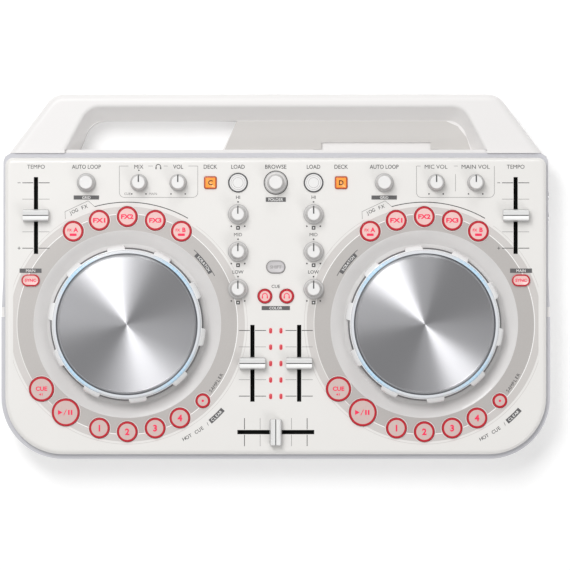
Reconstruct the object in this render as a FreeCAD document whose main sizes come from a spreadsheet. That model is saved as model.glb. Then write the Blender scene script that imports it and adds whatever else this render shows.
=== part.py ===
"""Compact two-deck DJ controller with a carrying handle along its rear edge.

Frame: +X to the right, +Y to the rear, +Z up, in millimetres. The origin is on the surface that
the rubber feet rest on, below the middle of the controller. Every size is a cell of the sheet
Dims. Controls are drawn with z = 0 at the top face of the panel and placed there.
"""

import FreeCAD
import Part
import math
import os
import Sketcher

DIMS = [
    # panel, trim and case
    ("panel_half", 197.1, "half width of the top panel"),
    ("panel_front", -129.6, "front edge of the top panel"),
    ("panel_rear", 86.6, "rear edge of the top panel"),
    ("panel_top", 42.0, "height of the panel's top face"),
    ("panel_deep", 8.0, "height of the panel with its skirt"),
    ("panel_skin", 2.5, "wall thickness of the panel"),
    ("panel_crown", 3.5, "rounding along the panel's top edge"),
    ("corner_front", 45.0, "front corner radius of the trim"),
    ("corner_rear", 7.0, "rear corner radius of the trim"),
    ("trim_half", 200.1, "half width of the trim along the front half"),
    ("trim_half_rear", 198.7, "half width of the trim along the rear half"),
    ("trim_front", -133.0, "front edge of the trim"),
    ("trim_rear", 89.9, "rear edge of the trim"),
    ("trim_low", 28.0, "underside of the trim"),
    ("trim_high", 35.5, "top of the trim"),
    ("trim_seat", 34.0, "ledge of the trim that carries the panel"),
    ("trim_band", 8.0, "width of the trim from its outer edge inwards"),
    ("lug_low", -29.5, "front end of the side lug"),
    ("lug_high", -22.2, "rear end of the side lug"),
    ("lug_deep", 2.4, "depth of the notch that the side lug fills"),
    ("taper_end", 0.4, "where the trim has become narrow"),
    ("case_half", 198.0, "half width of the bottom case at its rim"),
    ("case_front", -131.4, "front edge of the bottom case at its rim"),
    ("case_rear", 88.4, "rear edge of the bottom case at its rim"),
    ("case_low", 2.5, "underside of the bottom case"),
    ("case_floor", 2.5, "floor thickness of the bottom case"),
    ("case_draft", 12.0, "slope of the bottom case's sides, in degrees"),
    ("handle_joint", 88.3, "where the handle meets the case's rear wall"),
    ("back_half", 191.5, "half width of the case's rear wall"),
    ("case_round", 3.0, "rounding along the bottom case's lower edge"),
    ("cavity_half", 190.0, "half width of the case cavity"),
    ("cavity_front", -122.5, "front of the case cavity"),
    ("cavity_rear", 84.0, "rear of the case cavity"),
    # handle
    ("split", 20.0, "height where the handle's two halves meet"),
    ("handle_top", 37.0, "height of the handle's top face"),
    ("handle_front", 90.0, "front of the handle's upper half"),
    ("handle_rear", 133.0, "rear of the handle"),
    ("handle_half_front", 194.3, "half width of the handle at its front"),
    ("handle_half_rear", 161.8, "half width of the handle at its rear"),
    ("handle_corner", 15.0, "rear corner radius of the handle"),
    ("handle_round", 5.0, "rounding along the handle's outer top edge"),
    ("grip_front", 92.5, "front of the handle's opening"),
    ("grip_rear", 124.3, "rear of the opening, at the top face"),
    ("grip_rear_low", 114.1, "rear of the opening, at the shelf"),
    ("grip_half_front", 154.0, "half width of the opening's front, at the top face"),
    ("grip_half_rear", 136.7, "half width of the opening's rear, at the top face"),
    ("grip_low_front", 143.6, "half width of the opening's front, at the shelf"),
    ("grip_low_rear", 135.1, "half width of the opening's rear, at the shelf"),
    ("grip_corner", 16.0, "corner radius of the opening"),
    ("grip_round", 3.0, "rounding along the opening's top edge"),
    ("grip_end_rear", -28.5, "right end of the finger hole, at its rear"),
    ("grip_end_front", -39.0, "right end of the finger hole, at its front"),
    ("shelf_top", 22.5, "height of the shelf beside the finger hole"),
    ("ledge_top", 34.0, "height of the ledge in front of the opening"),
    ("slot_left", 33.6, "left end of the tablet slot in the shelf"),
    ("slot_right", 113.0, "right end of the tablet slot in the shelf"),
    ("slot_rear", 98.3, "rear edge of the tablet slot"),
    ("slot_deep", 1.6, "depth of the tablet slot"),
    # decks
    ("deck_offset", 108.1, "distance of each deck's centre from the middle"),
    ("deck_y", -34.7, "deck centre, front to rear"),
    ("dish_out", 68.0, "outer radius of the dish round a jog wheel"),
    ("dish_in", 58.6, "radius of the dish's floor"),
    ("dish_deep", 4.0, "depth of the dish"),
    ("jog_r", 57.4, "outer radius of a jog wheel"),
    ("jog_notch_r", 55.6, "radius at the bottom of the finger notches"),
    ("jog_notch_angle", 24.6, "angle that a finger notch spans"),
    ("jog_notches", 10, "finger notches round a jog wheel"),
    ("jog_first_notch", 68.0, "angle where the first notch starts"),
    ("jog_shaft_r", 4.0, "radius of the jog wheel's shaft"),
    ("jog_web_top", 12.0, "height of the jog wheel's web above the panel"),
    ("plate_r", 51.0, "radius of the metal plate"),
    ("plate_face_r", 49.2, "radius of the plate's flat face"),
    ("plate_top", 15.2, "height of the metal plate above the panel"),
    ("ring_r", 54.0, "outer radius of the clear ring round the plate"),
    ("ring_top", 14.2, "height of the clear ring above the panel"),
    ("bearing_gap", 0.05, "running clearance of shafts"),
    ("bearing_r", 8.0, "outer radius of a jog bearing"),
    # keys
    ("key_orbit", 78.3, "radius of the circle that a deck's keys stand on"),
    ("fx_step", 15.1, "angle between effect keys"),
    ("pad_step", 15.0, "angle between hot cue keys"),
    ("pad_last", 150.7, "angle of the fourth hot cue key"),
    ("play_angle", 214.9, "angle of the play key"),
    ("cue_angle", 232.9, "angle of the cue key"),
    ("sampler_angle", 135.4, "angle of the sampler key"),
    ("key_r", 7.4, "radius of effect and hot cue keys"),
    ("play_r", 10.0, "radius of the play key"),
    ("cue_r", 9.0, "radius of the cue key"),
    ("dot_r", 5.2, "radius of sampler and channel cue keys"),
    ("load_r", 6.9, "radius of the load keys"),
    ("key_gap", 0.3, "gap between a key and its hole"),
    ("key_proud", 1.6, "height of the keys above the panel"),
    ("key_travel", 1.0, "travel of a key"),
    ("key_edge", 0.5, "rounding of a key's top edge"),
    ("flange_lip", 0.9, "width of the flange that holds a key in"),
    ("flange_top", -2.6, "top of a key's flange"),
    ("flange_low", -3.6, "underside of a key's flange"),
    ("stem_r", 1.6, "radius of a key's stem"),
    ("stem_end", -6.8, "lower end of a key's stem"),
    ("oval_half_x", 6.7, "half width of the oval keys"),
    ("oval_half_y", 4.4, "half depth of the oval keys"),
    ("square_half", 4.4, "half width of the square deck keys"),
    ("square_corner", 1.2, "corner radius of the square deck keys"),
    ("sync_x", 178.5, "sync keys, distance from the middle"),
    ("sync_y", -2.8, "sync keys, front to rear"),
    ("shift_y", 6.9, "shift key, front to rear"),
    ("channel_cue_x", 7.95, "channel cue keys, distance from the middle"),
    ("channel_cue_y", -14.3, "channel cue keys, front to rear"),
    ("top_row_y", 68.3, "row of controls along the rear edge"),
    ("deck_key_x", 47.6, "deck keys, distance from the middle"),
    ("load_x", 27.5, "load keys, distance from the middle"),
    # rotary controls
    ("knob_base", 0.8, "gap between a knob and the panel"),
    ("knob_skirt_top", 3.2, "height of a knob's skirt"),
    ("knob_top", 12.4, "height of a knob above the panel"),
    ("level_skirt_r", 6.3, "radius of a level knob's skirt"),
    ("level_neck_r", 5.8, "radius of a level knob above its skirt"),
    ("level_top_r", 4.9, "radius of a level knob's top"),
    ("loop_skirt_r", 6.9, "radius of a loop knob's skirt"),
    ("loop_neck_r", 6.1, "radius of a loop knob above its skirt"),
    ("loop_top_r", 5.1, "radius of a loop knob's top"),
    ("tone_skirt_r", 7.4, "radius of a tone knob's skirt"),
    ("tone_neck_r", 6.2, "radius of a tone knob above its skirt"),
    ("tone_top_r", 4.85, "radius of a tone knob's top"),
    ("browse_skirt_r", 8.1, "radius of the browse knob's skirt"),
    ("browse_neck_r", 6.3, "radius of the browse knob above its skirt"),
    ("browse_top_r", 5.0, "radius of the browse knob's top"),
    ("browse_top", 14.0, "height of the browse knob above the panel"),
    ("shaft_r", 3.0, "radius of a knob's shaft"),
    ("shaft_end", -10.2, "lower end of a knob's shaft"),
    ("shaft_hole_r", 3.6, "hole in the panel for a knob's shaft"),
    ("eq_x", 27.5, "tone knobs, distance from the middle"),
    ("eq_high_y", 45.3, "upper tone knobs, front to rear"),
    ("eq_step", 27.2, "distance between tone knobs"),
    ("loop_left_x", -137.9, "left loop knob"),
    ("loop_right_x", 78.9, "right loop knob"),
    ("phones_mix_x", -99.7, "headphone mix knob"),
    ("phones_level_x", -71.1, "headphone level knob"),
    ("mic_x", 116.7, "microphone level knob"),
    ("master_x", 145.5, "main level knob"),
    # faders
    ("tempo_x", 174.6, "tempo faders, distance from the middle"),
    ("tempo_y", 44.4, "tempo faders, front to rear"),
    ("channel_x", 17.0, "channel faders, distance from the middle"),
    ("channel_y", -63.2, "channel faders, front to rear"),
    ("cross_y", -113.3, "crossfader, front to rear"),
    ("slot_long", 56.0, "length of a fader's slot"),
    ("slot_wide", 3.1, "width of a fader's slot"),
    ("cap_half_x", 9.4, "half width of a fader cap, across its slot"),
    ("cap_half_y", 4.5, "half depth of a fader cap, along its slot"),
    ("cap_ridge", 2.9, "distance of a cap's ridges from its middle"),
    ("cap_base", 0.8, "gap between a cap and the panel"),
    ("cap_shoulder", 3.0, "height where a cap's sides start to lean"),
    ("cap_top", 8.4, "height of a cap's ridges above the panel"),
    ("cap_valley", 6.9, "height of the valley between a cap's ridges"),
    ("cap_edge", 0.6, "rounding of a cap's ends"),
    ("lever_half_x", 0.6, "half thickness of a fader's lever"),
    ("lever_half_y", 2.0, "half width of a fader's lever"),
    ("lever_end", -9.5, "lower end of a fader's lever"),
    ("track_long", 70.0, "length of a fader's frame"),
    ("track_wide", 8.6, "width of a fader's frame"),
    ("track_top", -3.2, "top of a fader's frame"),
    ("groove_long", 55.0, "length of the groove in a fader's frame"),
    ("groove_wide", 2.2, "width of the groove in a fader's frame"),
    ("groove_low", -10.6, "bottom of the groove in a fader's frame"),
    # level lights
    ("light_x", 3.75, "level lights, distance from the middle"),
    ("light_first_y", -39.5, "rearmost level light"),
    ("light_step", 11.95, "distance between level lights"),
    ("light_half_x", 1.2, "half width of a level light"),
    ("light_half_y", 2.1, "half length of a level light"),
    # circuit board and what is soldered to it
    ("board_top", 29.6, "top of the circuit board"),
    ("board_thick", 1.6, "thickness of the circuit board"),
    ("board_half", 186.0, "half width of the circuit board"),
    ("board_front", -119.0, "front edge of the circuit board"),
    ("board_rear", 80.0, "rear edge of the circuit board"),
    ("board_corner", 34.0, "front corner radius of the circuit board"),
    ("pot_wide", 9.6, "width of a rotary sensor's body"),
    ("pot_high", 7.0, "height of a rotary sensor's body"),
    ("pot_bore_deep", 5.2, "depth of a rotary sensor's bore"),
    ("switch_wide", 6.2, "width of a key switch"),
    ("switch_high", 3.5, "height of a key switch's body"),
    ("plunger_r", 1.75, "radius of a key switch's plunger"),
    ("plunger_high", 1.0, "height of a key switch's plunger"),
    # sockets
    ("jack_y1", 59.3, "headphone socket, front to rear"),
    ("jack_y2", 44.0, "microphone socket, front to rear"),
    ("jack_z", 20.0, "height of the side sockets"),
    ("jack_bore_r", 1.8, "bore of a side socket"),
    ("jack_bush_r", 3.2, "radius of a side socket's bush"),
    ("jack_nut_r", 4.0, "radius of a side socket's ring nut"),
    ("jack_out", 199.7, "outer end of a side socket"),
    ("jack_nut_in", 195.6, "inner face of a side socket's ring nut"),
    ("jack_bush_in", 189.9, "inner end of a side socket's bush"),
    ("jack_body_in", 177.0, "inner end of a side socket's body"),
    ("jack_body_half", 4.5, "half width of a side socket's body"),
    ("line_x1", 96.0, "left line output"),
    ("line_x2", 112.0, "right line output"),
    ("socket_z", 11.5, "height of the rear sockets"),
    ("line_r", 4.15, "outer radius of a line output's shell"),
    ("line_bore_r", 3.3, "inner radius of a line output's shell"),
    ("line_pin_r", 1.6, "bore of a line output's contact"),
    ("line_sleeve_r", 2.3, "outer radius of a line output's contact"),
    ("line_out", 132.9, "outer end of a line output"),
    ("line_in", 123.9, "inner end of a line output's shell"),
    ("line_body_in", 112.0, "inner end of a line output's body"),
    ("line_body_half", 5.0, "half width of a line output's body"),
    ("socket_gap", 0.4, "gap between a socket and the case"),
    ("line_recess_r", 6.6, "hole in the case round a line output, with room for a plug"),
    ("usb_x", 58.0, "square data port"),
    ("usb_half_x", 6.0, "half width of the data port's shell"),
    ("usb_half_z", 5.4, "half height of the data port's shell"),
    ("usb_shell", 1.0, "wall of the data port's shell"),
    ("usb_out", 130.6, "outer end of the data port"),
    ("usb_in", 115.0, "inner end of the data port"),
    ("usb_back", 3.0, "thickness of the data port's back"),
    ("usb_tongue_half_x", 2.8, "half width of the data port's tongue"),
    ("usb_tongue_half_z", 1.6, "half height of the data port's tongue"),
    # feet and screws
    ("foot_r", 9.0, "radius of a rubber foot"),
    ("foot_edge", 0.6, "chamfer of a rubber foot"),
    ("foot_x", 165.0, "feet, distance from the middle"),
    ("foot_front_y", -95.0, "front feet"),
    ("foot_rear_y", 66.0, "rear feet"),
    ("post_x", 183.0, "corner screw posts, distance from the middle"),
    ("post_front_y", -62.0, "front corner posts"),
    ("post_rear_y", 76.0, "rear corner posts"),
    ("post_mid_front_y", -101.0, "middle posts at the front"),
    ("post_mid_x", 40.0, "middle posts at the front, distance from the middle"),
    ("post_mid_rear_x", 60.0, "middle posts at the rear, distance from the middle"),
    ("post_r", 4.0, "radius of a screw post"),
    ("boss_r", 3.4, "radius of a screw boss under the panel"),
    ("boss_low", 29.8, "lower end of a screw boss"),
    ("screw_r", 1.5, "radius of a screw"),
    ("screw_gap", 0.2, "clearance round a screw"),
    ("screw_head_r", 2.7, "radius of a screw's head"),
    ("screw_head_low", 5.4, "underside of a screw's head"),
    ("screw_head_high", 2.2, "height of a screw's head"),
    ("screw_tip", 38.0, "height of a screw's tip"),
]

SIDES = [("left", "-"), ("right", "")]
HOLE_DEPTH = 60.0  # a cut this deep goes through any wall here

doc = FreeCAD.newDocument("dj_controller")
sheet = doc.addObject("Spreadsheet::Sheet", "Dims")
for row, (alias, number, _) in enumerate(DIMS, start=1):
    sheet.set(f"A{row}", alias)
    sheet.set(f"B{row}", str(number))
    sheet.setAlias(f"B{row}", alias)
doc.recompute()
probe = doc.addObject("App::FeaturePython", "probe")
sub_parts = []


def value(expression):
    """The number that an expression over the sheet gives."""
    return float(probe.evalExpression(expression))


def bind(thing, **expressions):
    """Binds properties to expressions; two underscores in a name stand for a dot."""
    for name, expression in expressions.items():
        thing.setExpression(name.replace("__", "."), expression)
    return thing


def keep(thing, name, x="0", y="0", z="0"):
    """Names a finished sub-part, places it, and lists it for export."""
    thing.Label = name
    bind(thing, Placement__Base__x=x, Placement__Base__y=y, Placement__Base__z=z)
    sub_parts.append(thing)
    return thing


# ---------------------------------------------------------------- sketches and features


def new_body(name):
    return doc.addObject("PartDesign::Body", name)


def new_sketch(body, role, shift=("0", "0", "0")):
    """An empty sketch on one of the body's origin planes, shifted in its own directions."""
    sketch = body.newObject("Sketcher::SketchObject", "sketch")
    plane = next(f for f in body.Origin.OriginFeatures if f.Role == role)
    sketch.AttachmentSupport = [(plane, "")]
    sketch.MapMode = "FlatFace"
    bind(
        sketch,
        AttachmentOffset__Base__x=shift[0],
        AttachmentOffset__Base__y=shift[1],
        AttachmentOffset__Base__z=shift[2],
    )
    return sketch


def hold(sketch, rules):
    """Adds constraints in one go, each given with the expression that drives it, or None."""
    first = sketch.ConstraintCount
    sketch.addConstraint([rule for rule, _ in rules])
    for index, (_, expression) in enumerate(rules, first):
        if expression is not None:
            sketch.setExpression(f"Constraints[{index}]", expression)


def pinned(geometry, point, x, y):
    """The rules that hold a point of a sketch at x, y, both expressions over the sheet."""
    pairs = (("DistanceX", x), ("DistanceY", y))
    return [(Sketcher.Constraint(k, -1, 1, geometry, point, value(e)), e) for k, e in pairs]


def add_polygon(sketch, points):
    """A closed outline through points given as expressions (x, y) or (x, y, corner radius)."""
    count = len(points)
    places = [FreeCAD.Vector(value(p[0]), value(p[1]), 0) for p in points]
    corners = []
    for i, point in enumerate(points):
        radius = value(point[2]) if len(point) > 2 else 0.0
        corners.append(round_corner(places[i - 1], places[i], places[(i + 1) % count], radius))
    first = sketch.GeometryCount
    lines = [Part.LineSegment(corners[i][1], corners[(i + 1) % count][0]) for i in range(count)]
    sketch.addGeometry(lines, False)
    rules = []
    for i, point in enumerate(points):
        before, after = first + (i - 1) % count, first + i
        if len(point) < 3:
            rules.append((Sketcher.Constraint("Coincident", before, 2, after, 1), None))
            rules += pinned(after, 1, point[0], point[1])
        else:
            rules += join_with_arc(sketch, before, after, corners[i], point)
    hold(sketch, rules)


def round_corner(before, corner, after, radius):
    """Where an arc of that radius meets the two sides of a corner, its centre, and its turn."""
    inwards, outwards = (before - corner).normalize(), (after - corner).normalize()
    half = inwards.getAngle(outwards) / 2
    reach = radius / math.tan(half)
    start, end = corner + inwards * reach, corner + outwards * reach
    centre = corner + (inwards + outwards).normalize() * (radius / math.sin(half))
    return start, end, centre, inwards.cross(outwards).z < 0


def join_with_arc(sketch, before, after, corner, point):
    """Rounds the corner between two lines; the rules keep its sharp corner at its place."""
    start, end, centre, left_turn = corner
    if not left_turn:
        start, end = end, start
    angles = [math.atan2(p.y - centre.y, p.x - centre.x) for p in (start, end)]
    circle = Part.Circle(centre, FreeCAD.Vector(0, 0, 1), value(point[2]))
    arc = sketch.addGeometry(Part.ArcOfCircle(circle, *angles), False)
    sharp = FreeCAD.Vector(value(point[0]), value(point[1]), 0)
    mark = sketch.addGeometry(Part.Point(sharp), True)
    meet, leave = (1, 2) if left_turn else (2, 1)
    rules = [
        (Sketcher.Constraint("Tangent", before, 2, arc, meet), None),
        (Sketcher.Constraint("Tangent", after, 1, arc, leave), None),
        (Sketcher.Constraint("Radius", arc, value(point[2])), point[2]),
        (Sketcher.Constraint("PointOnObject", mark, 1, before), None),
        (Sketcher.Constraint("PointOnObject", mark, 1, after), None),
    ]
    return rules + pinned(mark, 1, point[0], point[1])


def add_circle(sketch, x, y, radius):
    centre = FreeCAD.Vector(value(x), value(y), 0)
    up = FreeCAD.Vector(0, 0, 1)
    circle = sketch.addGeometry(Part.Circle(centre, up, value(radius)), False)
    size = (Sketcher.Constraint("Radius", circle, value(radius)), radius)
    hold(sketch, pinned(circle, 3, x, y) + [size])


def rectangle(x, y, half_x, half_y, *radius):
    """The four corners of a rectangle round x, y, as expressions, rounded if a radius is given."""
    west, east = f"{x} - ({half_x})", f"{x} + {half_x}"
    south, north = f"{y} - ({half_y})", f"{y} + {half_y}"
    return [(a, b, *radius) for a, b in ((west, south), (east, south), (east, north), (west, north))]


def mirrored(half):
    """A closed outline from the points of its right half, listed from front to rear."""
    return half + [(f"-({point[0]})", *point[1:]) for point in reversed(half)]


def polygon_sketch(body, role, points, shift=("0", "0", "0")):
    sketch = new_sketch(body, role, shift)
    add_polygon(sketch, points)
    return sketch


def extrude(body, kind, sketch, length, reverse=False, taper=None):
    """A pad or pocket of that length; both are checked to have changed the volume."""
    doc.recompute()
    before = body.Shape.Volume if body.Tip is not None else 0.0
    feature = body.newObject(f"PartDesign::{kind}", kind.lower())
    feature.Profile = sketch
    feature.Type = "Length"
    bind(feature, Length=length)
    feature.Reversed = reverse
    if taper is not None:
        bind(feature, TaperAngle=taper)
    doc.recompute()
    grew = feature.Shape.Volume - before
    if (kind == "Pad") != (grew > 1e-6) or abs(grew) < 1e-6:
        raise RuntimeError(f"{body.Name}: {kind} changed the volume by {grew}")
    return feature


def pad(body, sketch, length, **options):
    return extrude(body, "Pad", sketch, length, **options)


def pocket(body, sketch, length, **options):
    return extrude(body, "Pocket", sketch, length, **options)


def turn(body, kind, points, shift=("0", "0", "0")):
    """A Revolution or Groove of an outline (radius, height) about the sketch's own upright."""
    sketch = polygon_sketch(body, "XZ_Plane", points, shift)
    feature = body.newObject(f"PartDesign::{kind}", kind.lower())
    feature.Profile = sketch
    feature.ReferenceAxis = (sketch, ["V_Axis"])
    feature.Angle = 360
    doc.recompute()
    return feature


def dress(body, kind, size, choose):
    """A Fillet or Chamfer of every edge that choose(edge) accepts."""
    doc.recompute()
    base = body.Tip
    chosen = [f"Edge{i}" for i, edge in enumerate(base.Shape.Edges, 1) if choose(edge)]
    if not chosen:
        raise RuntimeError(f"{body.Name}: no edge to {kind.lower()}")
    feature = body.newObject(f"PartDesign::{kind}", kind.lower())
    feature.Base = (base, chosen)
    bind(feature, **{"Radius" if kind == "Fillet" else "Size": size})
    doc.recompute()
    return feature


def level_at(height, inside=None):
    """Chooses edges that lie level at a height, if inside(middle of the edge) holds."""

    def choose(edge):
        box = edge.BoundBox
        level = abs(box.ZMin - height) < 1e-3 and abs(box.ZMax - height) < 1e-3
        return level and (inside is None or inside(box.Center))

    return choose


# ---------------------------------------------------------------- where the controls stand


def orbit(sign, angle):
    """A place on a deck's key circle; the angle runs clockwise from the rear."""
    x = f"{sign}Dims.deck_offset + Dims.key_orbit * sin({angle})"
    y = f"Dims.deck_y + Dims.key_orbit * cos({angle})"
    return x, y


def round_keys():
    """Every round key: name, x, y and radius."""
    keys = []
    for side, sign in SIDES:
        for step, name in enumerate(("effect_a", "effect_1", "effect_2", "effect_3", "effect_b")):
            keys.append((f"{name}_key_{side}", *orbit(sign, f"Dims.fx_step * {step - 2}"), "Dims.key_r"))
        for number, angle in enumerate(
            ("180 + Dims.pad_step", "180", "180 - Dims.pad_step", "Dims.pad_last"), start=1
        ):
            keys.append((f"hot_cue_{number}_key_{side}", *orbit(sign, angle), "Dims.key_r"))
        keys.append((f"play_key_{side}", *orbit(sign, "Dims.play_angle"), "Dims.play_r"))
        keys.append((f"cue_key_{side}", *orbit(sign, "Dims.cue_angle"), "Dims.cue_r"))
        keys.append((f"sampler_key_{side}", *orbit(sign, "Dims.sampler_angle"), "Dims.dot_r"))
        keys.append((f"load_key_{side}", f"{sign}Dims.load_x", "Dims.top_row_y", "Dims.load_r"))
        keys.append(
            (f"channel_cue_key_{side}", f"{sign}Dims.channel_cue_x", "Dims.channel_cue_y", "Dims.dot_r")
        )
    return keys


def flat_sided_keys():
    """The oval and square keys: name, x, y, half sizes and corner radius."""
    oval = ("Dims.oval_half_x", "Dims.oval_half_y", "Dims.oval_half_y - 0.05")
    square = ("Dims.square_half", "Dims.square_half", "Dims.square_corner")
    keys = [("shift_key", "0", "Dims.shift_y", *oval)]
    for side, sign in SIDES:
        keys.append((f"sync_key_{side}", f"{sign}Dims.sync_x", "Dims.sync_y", *oval))
        keys.append((f"deck_key_{side}", f"{sign}Dims.deck_key_x", "Dims.top_row_y", *square))
    return keys


def tone_knobs():
    """The six tone knobs: name, x and y."""
    knobs = []
    for side, sign in SIDES:
        for step, band in enumerate(("high", "mid", "low")):
            y = f"Dims.eq_high_y - Dims.eq_step * {step}"
            knobs.append((f"{band}_tone_knob_{side}", f"{sign}Dims.eq_x", y))
    return knobs


def top_row_knobs():
    """The knobs along the rear edge, without the browse knob: name, x and y."""
    row = [
        ("loop_knob_left", "Dims.loop_left_x"),
        ("loop_knob_right", "Dims.loop_right_x"),
        ("phones_mix_knob", "Dims.phones_mix_x"),
        ("phones_level_knob", "Dims.phones_level_x"),
        ("microphone_level_knob", "Dims.mic_x"),
        ("main_level_knob", "Dims.master_x"),
    ]
    return [(name, x, "Dims.top_row_y") for name, x in row]


def faders():
    """Every fader: name, x, y, and True if it slides from side to side."""
    found = [("crossfader", "0", "Dims.cross_y", True)]
    for side, sign in SIDES:
        found.append((f"tempo_fader_{side}", f"{sign}Dims.tempo_x", "Dims.tempo_y", False))
        found.append((f"channel_fader_{side}", f"{sign}Dims.channel_x", "Dims.channel_y", False))
    return found


def light_places():
    """The ten level lights: x and y."""
    return [
        (f"{sign}Dims.light_x", f"Dims.light_first_y - Dims.light_step * {step}")
        for _, sign in SIDES
        for step in range(5)
    ]


def screw_places():
    """The eight case screws: x and y."""
    right = [
        ("Dims.post_x", "Dims.post_front_y"),
        ("Dims.post_x", "Dims.post_rear_y"),
        ("Dims.post_mid_x", "Dims.post_mid_front_y"),
        ("Dims.post_mid_rear_x", "Dims.post_rear_y"),
    ]
    return right + [(f"-{x}", y) for x, y in right]


# ---------------------------------------------------------------- casing


def make_top_panel():
    body = new_body("top_panel")
    low = "Dims.panel_top - Dims.panel_deep"
    outline = mirrored(
        [
            ("Dims.panel_half", "Dims.panel_front", "Dims.corner_front - 3"),
            ("Dims.panel_half", "Dims.panel_rear", "Dims.corner_rear - 1"),
        ]
    )
    pad(body, polygon_sketch(body, "XY_Plane", outline, ("0", "0", low)), "Dims.panel_deep")
    dress(body, "Fillet", "Dims.panel_crown", level_at(value("Dims.panel_top")))
    half_inside = "Dims.panel_half - Dims.panel_skin"
    inner = mirrored(
        [
            (half_inside, "Dims.panel_front + Dims.panel_skin", "Dims.corner_front - 3 - Dims.panel_skin"),
            (half_inside, "Dims.panel_rear - Dims.panel_skin", "Dims.corner_rear - 1 - Dims.panel_skin"),
        ]
    )
    sketch = polygon_sketch(body, "XY_Plane", inner, ("0", "0", low))
    pocket(body, sketch, "Dims.panel_deep - Dims.panel_skin", reverse=True)

    for _, sign in SIDES:
        middle = (f"{sign}Dims.deck_offset", "Dims.panel_top", "-(Dims.deck_y)")
        under_dish = "-Dims.dish_deep - Dims.panel_skin"
        backing = [
            ("0", under_dish),
            ("Dims.dish_out + 2", under_dish),
            ("Dims.dish_out + 2", "-Dims.panel_skin + 0.5"),
            ("0", "-Dims.panel_skin + 0.5"),
        ]
        turn(body, "Revolution", backing, middle)
        bearing = [
            ("0", f"{under_dish} - 3.4"),
            ("Dims.bearing_r", f"{under_dish} - 3.4"),
            ("Dims.bearing_r", f"{under_dish} + 0.5"),
            ("0", f"{under_dish} + 0.5"),
        ]
        turn(body, "Revolution", bearing, middle)
        dish = [
            ("0", "-Dims.dish_deep"),
            ("Dims.dish_in", "-Dims.dish_deep"),
            ("Dims.dish_out", "0"),
            ("Dims.dish_out", "1"),
            ("0", "1"),
        ]
        turn(body, "Groove", dish, middle)

    bosses = new_sketch(body, "XY_Plane", ("0", "0", "Dims.boss_low"))
    for x, y in screw_places():
        add_circle(bosses, x, y, "Dims.boss_r")
    pad(body, bosses, "Dims.panel_top - Dims.panel_skin - Dims.boss_low + 0.5")
    screw_holes = new_sketch(body, "XY_Plane", ("0", "0", "Dims.boss_low"))
    for x, y in screw_places():
        add_circle(screw_holes, x, y, "Dims.screw_r + 0.05")
    pocket(body, screw_holes, "Dims.screw_tip - Dims.boss_low + 0.5", reverse=True)

    reliefs = new_sketch(body, "XY_Plane", ("0", "0", "Dims.panel_top - Dims.panel_skin"))
    for _, x, y, radius in round_keys():
        add_circle(reliefs, x, y, f"{radius} + Dims.flange_lip + 0.4")
    pocket(body, reliefs, "6")
    reliefs = new_sketch(body, "XY_Plane", ("0", "0", "Dims.panel_top - Dims.panel_skin"))
    for _, x, y, half_x, half_y, *_ in flat_sided_keys():
        halves = [f"({half} + Dims.flange_lip + 0.4)" for half in (half_x, half_y)]
        add_polygon(reliefs, rectangle(x, y, *halves))
    pocket(body, reliefs, "6")
    holes = new_sketch(body, "XY_Plane", ("0", "0", "Dims.panel_top + 1"))
    for _, x, y, radius in round_keys():
        add_circle(holes, x, y, f"{radius} + Dims.key_gap")
    for _, x, y in tone_knobs() + top_row_knobs() + [("browse", "0", "Dims.top_row_y")]:
        add_circle(holes, x, y, "Dims.shaft_hole_r")
    for _, sign in SIDES:
        radius = "Dims.jog_shaft_r + Dims.bearing_gap"
        add_circle(holes, f"{sign}Dims.deck_offset", "Dims.deck_y", radius)
    pocket(body, holes, str(HOLE_DEPTH))

    slots = new_sketch(body, "XY_Plane", ("0", "0", "Dims.panel_top + 1"))
    for _, x, y, sideways in faders():
        halves = ["Dims.slot_long / 2", "Dims.slot_wide / 2"]
        if not sideways:
            halves.reverse()
        add_polygon(slots, rectangle(x, y, *halves))
    for x, y in light_places():
        add_polygon(slots, rectangle(x, y, "(Dims.light_half_x + 0.1)", "(Dims.light_half_y + 0.1)"))
    pocket(body, slots, str(HOLE_DEPTH))
    for _, x, y, half_x, half_y, corner in flat_sided_keys():
        halves = [f"({half} + Dims.key_gap)" for half in (half_x, half_y)]
        window = rectangle(x, y, *halves, f"{corner} + Dims.key_gap")
        sketch = polygon_sketch(body, "XY_Plane", window, ("0", "0", "Dims.panel_top + 1"))
        pocket(body, sketch, str(HOLE_DEPTH))
    return keep(body, "top_panel")


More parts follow.
